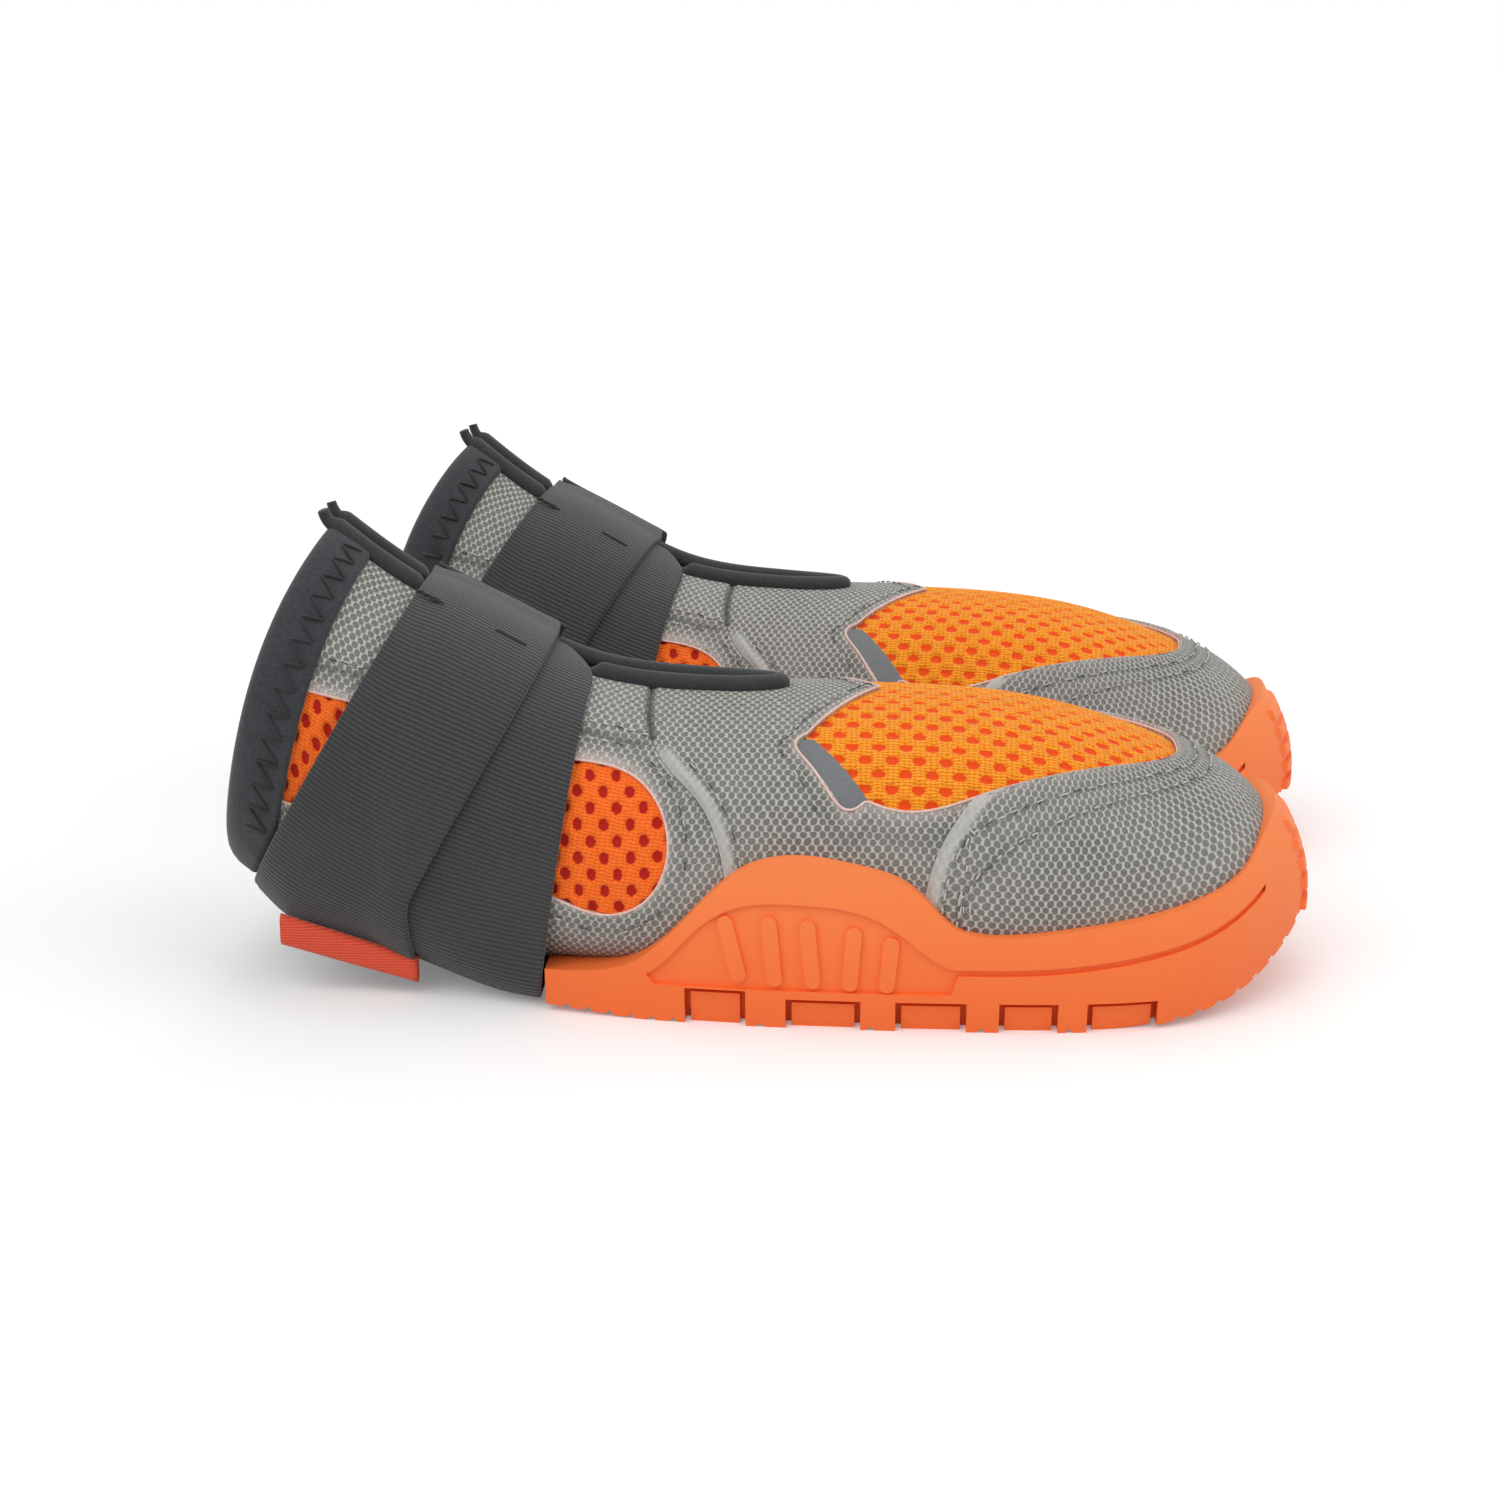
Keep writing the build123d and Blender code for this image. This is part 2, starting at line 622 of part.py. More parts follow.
PLACES = {
    "right": Pos(*RIGHT_BOOT_AT, 0),
    "left": Pos(*LEFT_BOOT_AT, 0) * Rot(0, 0, LEFT_TOE_IN),
}

os.makedirs("parts", exist_ok=True)
for piece, shape in boot().items():
    for side, place in PLACES.items():
        export_step(place * Compound(shape.solids()), "parts/" + side + "_" + piece + ".step")
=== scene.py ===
# %% [markdown]
# # A pair of dog boots
#
# Each boot is a soft upper in a moulded rubber cup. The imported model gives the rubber, the
# joints and the place of every part. This lesson keeps the rubber as it is, builds the cloth
# of the upper as thin surfaces with numpy, and gives every surface a procedural finish.
# Lengths are worked out in millimetres in a boot's own frame, with the toe towards +X, and
# are turned into metres only when a mesh is made.

# %% The frame
import json
import math

import bpy
import numpy as np
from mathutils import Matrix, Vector


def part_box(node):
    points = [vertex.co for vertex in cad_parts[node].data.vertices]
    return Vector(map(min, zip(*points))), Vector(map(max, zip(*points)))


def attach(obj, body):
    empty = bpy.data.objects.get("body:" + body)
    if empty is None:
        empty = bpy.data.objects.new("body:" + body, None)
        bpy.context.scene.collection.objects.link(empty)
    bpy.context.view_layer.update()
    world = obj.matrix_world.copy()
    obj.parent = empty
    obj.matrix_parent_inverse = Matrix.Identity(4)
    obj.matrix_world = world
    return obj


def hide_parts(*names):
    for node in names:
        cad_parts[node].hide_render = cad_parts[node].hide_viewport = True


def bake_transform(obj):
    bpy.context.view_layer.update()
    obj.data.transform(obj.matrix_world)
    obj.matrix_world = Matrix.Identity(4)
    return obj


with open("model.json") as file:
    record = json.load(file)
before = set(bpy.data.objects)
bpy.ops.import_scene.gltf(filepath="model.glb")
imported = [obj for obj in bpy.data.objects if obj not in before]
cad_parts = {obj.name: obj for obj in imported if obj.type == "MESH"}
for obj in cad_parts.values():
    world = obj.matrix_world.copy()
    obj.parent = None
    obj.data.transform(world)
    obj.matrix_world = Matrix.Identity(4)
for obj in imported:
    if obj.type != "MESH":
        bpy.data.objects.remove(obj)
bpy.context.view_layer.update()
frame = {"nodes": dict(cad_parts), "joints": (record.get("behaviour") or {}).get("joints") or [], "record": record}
record = frame["record"]
joints = {j["name"]: j for j in frame["joints"]}
MM = 0.001
SIDES = ("right", "left")

# %% [markdown]
# The two boots are the same make, so one set of shapes serves both. Their places could be
# typed in again, but then a change to the model would leave the cloth behind. So they are read
# from the record: the rest mount gives a point under the ball of the foot, and the strap's
# hinge line gives the way the boot is turned.

# %% Where each boot stands
REST_POINT = np.array([25.0, 0.0, 0.0])


def place_of(side):
    """The turn about +Z and the shift that carry a boot's own frame to the shared one."""
    axis = joints[side + "_strap_peel"]["axis"]
    rest = next(m for m in record["mounts"] if m["name"] == side + "_sole_rest")
    angle = math.atan2(axis[1], axis[0])
    c, s = math.cos(angle), math.sin(angle)
    turn = np.array([[c, -s, 0.0], [s, c, 0.0], [0.0, 0.0, 1.0]])
    return turn, np.array(rest["pos_m"]) / MM - turn @ REST_POINT


PLACES = {side: place_of(side) for side in SIDES}


def to_row(side, points):
    """Points of a boot's own frame, in mm, as points of the shared frame, in metres."""
    turn, shift = PLACES[side]
    return (points @ turn.T + shift) * MM


for side in SIDES:
    print(side, "stands at", np.round(PLACES[side][1], 2), "mm")

# %% [markdown]
# ## Camera
#
# The camera stands a little above the boots and looks slightly down. A short lens close by
# would also hold both boots, but it would swell the nearer toe, so the lens is fairly long.

# %% Camera
CAMERA_AT = np.array([15.7, -486.0, 160.0])
CAMERA_TURN, CAMERA_TILT = math.radians(3.0), math.radians(15.35)
LENS, SENSOR = 62.4, 36.0
CLIP = (0.01, 20.0)

camera = bpy.data.objects.new("camera", bpy.data.cameras.new("camera"))
bpy.context.scene.collection.objects.link(camera)
camera.data.lens = LENS
camera.data.sensor_width = SENSOR
camera.data.clip_start, camera.data.clip_end = CLIP
camera.location = CAMERA_AT * MM
camera.rotation_euler = (math.pi / 2 - CAMERA_TILT, 0.0, CAMERA_TURN)
bpy.context.scene.camera = camera
bpy.context.scene.view_settings.view_transform = "Standard"
print(f"camera {np.linalg.norm(CAMERA_AT):.0f} mm from the middle of the pair")

# %% [markdown]
# ## Shader maths
#
# A material is easier to read as an expression than as a list of nodes and links. `Wire`
# wraps one output socket, and its operators add the Math node that they stand for.
# `Finish.node` adds any other node. The floor uses it first: it is pale and keeps the contact
# shadow, and Light Path adds white only for what the camera and glossy surfaces see, so the
# background is white without more light on the boots.

# %% Wire: arithmetic on sockets
class Wire:
    """One output socket. Arithmetic on it adds Math nodes."""

    def __init__(self, finish, socket):
        self.finish, self.socket = finish, socket

    def maths(self, operation, *others):
        return self.finish.node("ShaderNodeMath", {"operation": operation},
                                dict(enumerate((self, *others))))

    def __add__(self, other):
        return self.maths("ADD", other)

    def __sub__(self, other):
        return self.maths("SUBTRACT", other)

    def __mul__(self, other):
        return self.maths("MULTIPLY", other)

    def __rsub__(self, other):
        return (self * -1.0) + other

    def wave(self, pitch):
        """A sine that repeats every `pitch`, from 0 to 1."""
        return (self * (2 * math.pi / pitch)).maths("SINE") * 0.5 + 0.5

    def step(self, low, high):
        """0 below low, 1 above high, smooth between."""
        return self.finish.node("ShaderNodeMapRange", {"interpolation_type": "SMOOTHSTEP"},
                                {0: self, 1: low, 2: high, 3: 0.0, 4: 1.0})


print("sockets can be added and multiplied")

# %% Finish: a material written as expressions
class Finish:
    """A material whose nodes are written as expressions."""

    def __init__(self, name, **surface):
        self.material = bpy.data.materials.new(name)
        self.material.use_nodes = True
        self.tree = self.material.node_tree
        self.shader = self.tree.nodes["Principled BSDF"]
        self.set(**{key.replace("_", " "): value for key, value in surface.items()})

    def node(self, kind, settings=None, inputs=None, output=0):
        """A node of one type, with its settings made first and its inputs set or linked."""
        node = self.tree.nodes.new(kind)
        for key, value in (settings or {}).items():
            setattr(node, key, value)
        for key, value in (inputs or {}).items():
            self.feed(node.inputs[key], value)
        return Wire(self, node.outputs[output])

    def feed(self, socket, value):
        if isinstance(value, Wire):
            self.tree.links.new(value.socket, socket)
        elif hasattr(socket.default_value, "__len__") and len(value) < len(socket.default_value):
            socket.default_value = (*value, 1.0)
        else:
            socket.default_value = value

    def set(self, **inputs):
        for key, value in inputs.items():
            self.feed(self.shader.inputs[key], value)

    def where(self, space="Object"):
        """The place on the piece: its Object coordinates, or its own UV map."""
        return self.node("ShaderNodeTexCoord", output={"UV": 2, "Object": 3}[space])

    def part(self, vector, axis):
        return self.node("ShaderNodeSeparateXYZ", None, {0: vector}, output="XYZ".index(axis))

    def mark(self, name):
        return self.node("ShaderNodeAttribute", {"attribute_name": name}, output=2)

    def noise(self, vector, size, detail=2.0):
        """Soft noise about 0.5 whose blobs are `size` metres across."""
        return self.node("ShaderNodeTexNoise", None,
                         {"Vector": vector, "Scale": 1.0 / size, "Detail": detail})

    def blend(self, share, first, second):
        return self.node("ShaderNodeMix", {"data_type": "RGBA"},
                         {0: share, 6: first, 7: second}, output=2)

    def bump(self, height, depth):
        """Raises the normal by a height from 0 to 1 that stands for `depth` metres."""
        normal = self.node("ShaderNodeBump", None,
                           {"Strength": 1.0, "Distance": depth, "Height": height})
        self.feed(self.shader.inputs["Normal"], normal)


def srgb(r, g, b):
    """A colour read as 0 to 255 on a screen, as the linear values a shader takes."""
    c = np.array([r, g, b]) / 255.0
    return tuple(float(x) for x in np.where(c <= 0.04045, c / 12.92, ((c + 0.055) / 1.055) ** 2.4))


print("shader helper ready")

# %% Floor
FLOOR_HALF = 12.0
FLOOR_ALBEDO, FLOOR_LIFT = 0.86, 0.17


def seen_rays(tree):
    """1 for camera, glossy and transmission rays, and 0 for the light that falls on things."""
    path = tree.nodes.new("ShaderNodeLightPath")
    total = path.outputs["Is Camera Ray"]
    for name in ("Is Glossy Ray", "Is Transmission Ray"):
        either = tree.nodes.new("ShaderNodeMath")
        either.operation = "MAXIMUM"
        tree.links.new(total, either.inputs[0])
        tree.links.new(path.outputs[name], either.inputs[1])
        total = either.outputs[0]
    return total


floor_mesh = bpy.data.meshes.new("floor")
floor_mesh.from_pydata([(x * FLOOR_HALF, y * FLOOR_HALF, 0.0)
                        for x, y in ((-1, -1), (1, -1), (1, 1), (-1, 1))], [], [(0, 1, 2, 3)])
floor = bpy.data.objects.new("floor", floor_mesh)
bpy.context.scene.collection.objects.link(floor)
ground = Finish("floor", Roughness=0.9)
ground.set(**{"Base Color": (FLOOR_ALBEDO,) * 3, "Emission Color": (1.0, 1.0, 1.0),
              "Specular IOR Level": 0.0})
lift = ground.tree.nodes.new("ShaderNodeMath")
lift.operation = "MULTIPLY"
lift.inputs[1].default_value = FLOOR_LIFT
ground.tree.links.new(seen_rays(ground.tree), lift.inputs[0])
ground.tree.links.new(lift.outputs[0], ground.shader.inputs["Emission Strength"])
floor_mesh.materials.append(ground.material)
print(f"floor {2 * FLOOR_HALF:.0f} m wide")

# %% World and lamps
SKY_LIGHT = 0.46
SUNS = {"key": (-0.5, -0.75, 1.0, 1.15), "side": (0.9, -0.35, 0.8, 0.65),
        "top": (0.1, 0.5, 1.2, 0.55)}
SUN_SPREAD = math.radians(55)

world = bpy.data.worlds.new("studio")
bpy.context.scene.world = world
world.use_nodes = True
sky = world.node_tree.nodes["Background"]
sky.inputs["Color"].default_value = (1.0, 1.0, 1.0, 1.0)
level = world.node_tree.nodes.new("ShaderNodeMapRange")
level.inputs["To Min"].default_value, level.inputs["To Max"].default_value = SKY_LIGHT, 1.0
world.node_tree.links.new(seen_rays(world.node_tree), level.inputs["Value"])
world.node_tree.links.new(level.outputs["Result"], sky.inputs["Strength"])

for name, (x, y, z, strength) in SUNS.items():
    sun = bpy.data.objects.new(name, bpy.data.lights.new(name, "SUN"))
    sun.data.energy, sun.data.angle = strength, SUN_SPREAD
    sun.rotation_euler = Vector((x, y, z)).to_track_quat("Z", "Y").to_euler()
    bpy.context.scene.collection.objects.link(sun)
print("stage ready:", len(SUNS), "soft lamps")

# %% [markdown]
# ## The last: one surface under every layer
#
# A shoemaker pulls the upper over a last. Each panel could be shaped by hand and pushed about
# until nothing crosses, but one shared surface makes a layer follow from a single number.
# Here the last has two parameters: `u` runs from the mouth to the toe and `w` runs round the
# section, from -2 at the keel up the near side to 0 at the crest, and down the far side to 2.
# Every layer is this surface moved outwards by its height in millimetres, so layers follow
# each other and don't cross.

# %% Sections of the last
# crest x, z; keel x, z; half width; height share of the widest line; fullness above and
# below; how far the end leads a layer that stands outside
STATIONS = np.array([
    (-86.0, 88.0, -106.0, 30.0, 25.0, 0.50, 0.56, 0.60, 0.0),
    (-72.5, 77.8, -92.0, 19.0, 26.0, 0.48, 0.56, 0.62, 0.0),
    (-59.0, 68.2, -74.0, 8.0, 27.5, 0.46, 0.57, 0.68, 0.0),
    (-45.5, 61.2, -56.0, 3.8, 28.0, 0.44, 0.58, 0.74, 0.0),
    (-31.0, 54.2, -37.0, 4.0, 29.5, 0.40, 0.59, 0.76, 0.0),
    (-12.0, 51.2, -15.0, 5.0, 32.0, 0.32, 0.60, 0.82, 0.0),
    (8.0, 50.6, 6.0, 5.2, 33.5, 0.28, 0.62, 0.84, 0.0),
    (28.0, 50.4, 27.0, 5.2, 34.0, 0.26, 0.62, 0.84, 0.0),
    (48.0, 48.4, 48.0, 5.2, 33.5, 0.26, 0.62, 0.80, 0.0),
    (64.0, 44.0, 66.0, 6.2, 31.0, 0.28, 0.61, 0.74, 0.0),
    (76.0, 39.0, 78.0, 8.8, 26.0, 0.32, 0.60, 0.66, 0.3),
    (84.5, 33.4, 85.5, 12.3, 18.5, 0.40, 0.58, 0.60, 0.6),
    (89.0, 27.0, 89.2, 16.6, 9.5, 0.46, 0.56, 0.56, 1.0)])


def sections(w, height):
    """Points of all stations at w, `height` outside the last: one more axis, then x, y, z.

    A section is four Bezier quarters between crest, widest line and keel. A quarter's
    control points are (0, h), (k b, h), (b, k h) and (b, 0), with half width b, height h from
    the widest line and fullness k, and b and h both grow by the layer's height."""
    top, keel = STATIONS[:, 0:2], STATIONS[:, 2:4]
    rise = np.linalg.norm(top - keel, axis=1)
    up = (top - keel) / rise[:, None]
    share = STATIONS[:, 5]
    middle = keel + up * (rise * share)[:, None]
    w, height = np.broadcast_arrays(np.asarray(w, float), np.asarray(height, float))
    w, height = w[..., None], height[..., None]
    above = np.abs(w) < 1
    t = np.where(above, np.abs(w), 2 - np.abs(w))
    k = np.where(above, STATIONS[:, 6], STATIONS[:, 7])
    h = np.where(above, rise * (1 - share), -rise * share) + np.where(above, height, -height)
    b = STATIONS[:, 4] + height
    b0, b1, b2, b3 = (1 - t) ** 3, 3 * t * (1 - t) ** 2, 3 * t * t * (1 - t), t ** 3
    y = np.sign(w) * b * (k * b1 + b2 + b3)
    along = h * (b0 + b1 + k * b2)
    x = middle[:, 0] + up[:, 0] * along + STATIONS[:, 8] * height
    return np.stack([x, y, middle[:, 1] + up[:, 1] * along], -1)


print(len(STATIONS), "sections from the mouth to the toe")

# %% Smooth lines through the sections
def spline_weights(knots, at):
    """Shares of the points at `knots` in a cubic spline read at `at`, one row a reading.

    The second derivatives solve the spline's three-term equations, and the first two and the
    last two spans share one cubic."""
    n, h = len(knots), np.diff(knots)
    left, right = np.zeros((n, n)), np.zeros((n, n))
    i = np.arange(1, n - 1)
    left[i, i - 1], left[i, i], left[i, i + 1] = h[:-1], 2 * (h[:-1] + h[1:]), h[1:]
    right[i, i - 1], right[i, i + 1] = 6 / h[:-1], 6 / h[1:]
    right[i, i] = -6 / h[:-1] - 6 / h[1:]
    left[0, :3] = h[1], -(h[0] + h[1]), h[0]
    left[-1, -3:] = h[-1], -(h[-2] + h[-1]), h[-2]
    bend = np.linalg.solve(left, right)
    at = np.asarray(at, float)
    span = np.clip(np.searchsorted(knots, at) - 1, 0, n - 2)
    width = h[span]
    b = (at - knots[span]) / width
    a, one = 1 - b, np.eye(n)
    curl = width ** 2 / 6
    return (a[..., None] * one[span] + b[..., None] * one[span + 1]
            + ((a ** 3 - a) * curl)[..., None] * bend[span]
            + ((b ** 3 - b) * curl)[..., None] * bend[span + 1])


ring = sections(np.linspace(-2, 2, 160, endpoint=False), 0.0)
KNOTS = np.r_[0, np.cumsum(np.linalg.norm(np.diff(ring, axis=1), axis=2).mean(0))]
LENGTH = KNOTS[-1]


def body(u, w, height=0.0):
    """Points at (u, w), `height` mm outside the last. u is millimetres from the mouth's end."""
    u, w, height = np.broadcast_arrays(np.asarray(u, float), w, height)
    return (spline_weights(KNOTS, u)[..., None] * sections(w, height)).sum(-2)


def outward(u, w):
    """The way out of the last, of length 1."""
    way = body(u, w, 0.5) - body(u, w, -0.5)
    return way / np.linalg.norm(way, axis=-1, keepdims=True)


print(f"the last is {LENGTH:.0f} mm long along its middle")

# %% [markdown]
# Seams and cut edges could be picked on the surface by eye, but they are easiest to draw flat,
# as a pattern maker does: in side view with x and z, or in plan with x and y. `curve` passes a
# smooth line through drawn points, and `seat` finds where on the last a drawn point lies, by
# Newton steps from the nearest point of a coarse table.

# %% Drawing on the last
def curve(points, count):
    """`count` points, evenly spaced along a cubic spline through the drawn ones."""
    points = np.asarray(points, float)
    knots = np.r_[0, np.cumsum(np.linalg.norm(np.diff(points, axis=0), axis=1))]
    fine = spline_weights(knots, np.linspace(0, knots[-1], 8 * count)) @ points
    return even(fine, count)


def even(line, count):
    """`count` points, evenly spaced along a line of many points."""
    run = np.r_[0, np.cumsum(np.linalg.norm(np.diff(line, axis=0), axis=1))]
    at = np.linspace(0, run[-1], count)
    return np.stack([np.interp(at, run, column) for column in line.T], -1)


TABLE_U, TABLE_W = np.meshgrid(np.linspace(0, LENGTH, 110), np.linspace(-1.96, 1.96, 180),
                               indexing="ij")
TABLE = body(TABLE_U, TABLE_W)
STEP_U, STEP_W = 0.02, 0.002
LEAP_U, LEAP_W = 3, 0.1
NEWTON_STEPS = 8


def seat(drawn, view):
    """(u, w) on the last of drawn points. view is plan, near or far.

    A Newton step solves the two equations of the slopes along u and w for what is still off,
    and no step is longer than LEAP_U or LEAP_W."""
    axes = [0, 1] if view == "plan" else [0, 2]
    allowed = {"plan": np.abs(TABLE_W) < 1.3, "near": TABLE_W < 0, "far": TABLE_W > 0}[view]
    table = TABLE[allowed][:, axes]
    nearest = ((drawn[:, None] - table) ** 2).sum(-1).argmin(1)
    u, w = TABLE_U[allowed][nearest], TABLE_W[allowed][nearest]
    for _ in range(NEWTON_STEPS):
        here = body(u, w)[:, axes]
        by_u = (body(u + STEP_U, w)[:, axes] - here) / STEP_U
        by_w = (body(u, w + STEP_W)[:, axes] - here) / STEP_W
        off = drawn - here
        area = by_u[:, 0] * by_w[:, 1] - by_u[:, 1] * by_w[:, 0]
        on = (off[:, 0] * by_w[:, 1] - off[:, 1] * by_w[:, 0]) / area
        round_ = (by_u[:, 0] * off[:, 1] - by_u[:, 1] * off[:, 0]) / area
        u = u + np.clip(on, -LEAP_U, LEAP_U)
        w = w + np.clip(round_, -LEAP_W, LEAP_W)
    return u, w


print(TABLE_U.size, "points in the table")

# %% Soft steps and outlines
def smooth(value, low, high):
    """0 below low, 1 above high, and 3t^2 - 2t^3 between."""
    t = np.clip((value - low) / (high - low), 0, 1)
    return t * t * (3 - 2 * t)


def inside(points, outline):
    """How far flat points lie inside a closed outline, in mm, less than 0 outside.

    The distance is the least over the outline's edges, and its sign comes from how many
    edges a ray along +x crosses."""
    a, b = outline, np.roll(outline, -1, axis=0)
    shape = points.shape[:-1]
    p = points.reshape(-1, 1, 2)
    way = b - a
    t = np.clip(((p - a) * way).sum(-1) / np.maximum((way ** 2).sum(-1), 1e-9), 0, 1)
    gap = np.sqrt((((p - a) - t[..., None] * way) ** 2).sum(-1)).min(1)
    straddles = (a[:, 1] > p[..., 1]) != (b[:, 1] > p[..., 1])
    rise = np.where(way[:, 1] == 0, 1e-9, way[:, 1])
    crosses = straddles & (p[..., 0] < a[:, 0] + (p[..., 1] - a[:, 1]) * way[:, 0] / rise)
    return np.where(crosses.sum(1) % 2 == 1, gap, -gap).reshape(shape)


print("halfway up a soft step:", smooth(0.5, 0, 1))

# %% [markdown]
# ## From a trimmed grid to a piece of cloth
#
# A real panel is cut flat, with an even weave and a clean edge. A Boolean modifier could cut
# it from the last, but it would leave slivers and no even map for the weave. So a panel starts
# as a grid on the last, and where its outline crosses the grid, the nearest grid points move
# on to the outline.

# %% Trimming
def trimmed(us, ws, keep):
    """The part of a grid on the last where keep(points, w) is above 0.

    Each grid point beside a crossing moves to it where that is the nearer end of the edge. A
    square with one point left outside gives one triangle. Returns u, w, the map (mm along,
    mm round) and the faces."""
    U, W = np.meshgrid(us, ws, indexing="ij")
    P = body(U, W)
    along, round_ = np.zeros_like(U), np.zeros_like(U)
    along[1:] = np.cumsum(np.linalg.norm(np.diff(P, axis=0), axis=2), axis=0)
    round_[:, 1:] = np.cumsum(np.linalg.norm(np.diff(P, axis=1), axis=2), axis=1)
    along -= along[len(us) // 2]
    round_ -= round_[:, [int(np.argmin(np.abs(ws)))]]
    level = keep(P, W)
    moving = np.stack([U, W, along, round_], -1)
    shift, best = np.zeros_like(moving), np.full(U.shape, 0.5)
    for axis, step in ((0, 1), (0, -1), (1, 1), (1, -1)):
        other, beside = np.roll(level, -step, axis), np.roll(moving, -step, axis)
        border = [slice(None)] * 2
        border[axis] = -1 if step == 1 else 0
        other[tuple(border)] = level[tuple(border)]
        with np.errstate(divide="ignore", invalid="ignore"):
            share = np.where(level * other < 0, level / (level - other), 1.0)
        take = (share < best) | ((share == 0.5) & (best == 0.5) & (level > 0))
        best = np.where(take, share, best)
        shift = np.where(take[..., None], share[..., None] * (beside - moving), shift)
    snapped = (shift != 0).any(-1)
    flat, first = np.where(snapped, 0.0, level).ravel(), level.ravel()
    moving = (moving + shift).reshape(-1, 4)
    index = np.arange(U.size).reshape(U.shape)
    squares = np.stack([index[:-1, :-1], index[1:, :-1], index[1:, 1:], index[:-1, 1:]],
                       -1).reshape(-1, 4)
    held = flat[squares] >= 0
    solid = held.all(1) & ((flat[squares] > 0).any(1) | (first[squares].mean(1) > 0))
    quads = squares[solid]
    three = held.sum(1) == 3
    out = held[three].argmin(1)[:, None]
    triangles = np.take_along_axis(squares[three], (out + [1, 2, 3]) % 4, axis=1)
    triangles = triangles[(flat[triangles] > 0).any(1) | (first[triangles].mean(1) > 0)]
    used, faces = np.unique(np.concatenate([quads.ravel(), triangles.ravel()]),
                            return_inverse=True)
    quads, triangles = faces[:quads.size].reshape(-1, 4), faces[quads.size:].reshape(-1, 3)
    u, w, along, round_ = moving[used].T
    return {"u": u, "w": w, "map": np.stack([along, round_], -1), "faces": (quads, triangles)}


print("grids can be trimmed")

# %% [markdown]
# The cloth then gets its thickness: an outer face, an inner face, and a rim between them.
# Solidify and Bevel modifiers could do this too, but the rim here is wanted round on its upper
# side only, and the inner face lies at a height of its own.

# %% Thickness with a rounded rim
RIM_ANGLES = np.radians([0, 35, 65, 90])


def rim_of(faces, count):
    """The directed edges that only one face uses."""
    ends = np.concatenate([np.stack([f, np.roll(f, -1, axis=1)], -1).reshape(-1, 2)
                           for f in faces])
    code, back = ends[:, 0] * count + ends[:, 1], ends[:, 1] * count + ends[:, 0]
    return ends[~np.isin(code, back)]


def cloth(patch, top, under, softness):
    """A closed layer from height `under` to height `top` whose upper rim is rounded.

    The rim's rings follow a quarter circle of radius `softness`: at angle a the ring stands
    r (1 - sin a) in from the cut edge and r (1 - cos a) below the top."""
    u, w, faces = patch["u"], patch["w"], patch["faces"]
    n = len(u)
    top, under = np.broadcast_to(top, n), np.broadcast_to(under, n)
    outer, inner, normal = body(u, w, top), body(u, w, under), outward(u, w)
    edge = rim_of(faces, n)
    way = outer[edge[:, 1]] - outer[edge[:, 0]]
    way /= np.maximum(np.linalg.norm(way, axis=1, keepdims=True), 1e-9)
    inward = np.zeros_like(outer)
    for end in (0, 1):
        np.add.at(inward, edge[:, end], np.cross(normal[edge[:, end]], way))
    inward /= np.maximum(np.linalg.norm(inward, axis=1, keepdims=True), 1e-9)
    rim = np.unique(edge)
    radius = np.minimum(softness, 0.8 * (top - under))[rim][:, None]
    rings = [outer[rim] + inward[rim] * radius * (1 - math.sin(a))
             - normal[rim] * radius * (1 - math.cos(a)) for a in RIM_ANGLES]
    deeper = len(RIM_ANGLES) - 1
    outer[rim] = rings[0]
    at = np.zeros(n, int)
    at[rim] = np.arange(len(rim))
    levels = [edge] + [2 * n + k * len(rim) + at[edge] for k in range(deeper)] + [n + edge]
    walls = [np.stack([up[:, 1], up[:, 0], down[:, 0], down[:, 1]], -1)
             for up, down in zip(levels, levels[1:])]
    quads, triangles = faces
    return {"points": np.concatenate([outer, inner, *rings[1:]]),
            "faces": (quads, triangles, n + quads[:, ::-1], n + triangles[:, ::-1], *walls),
            "source": np.concatenate([np.arange(n), np.arange(n), *[rim] * deeper])}


print("cloth can be thickened, with", len(RIM_ANGLES), "rings round its rim")

# %% [markdown]
# Every piece is worked out once in a boot's own frame and then placed on both boots. The place
# goes into the mesh itself and each object stays at the origin, so that textures and joints
# read one shared frame.

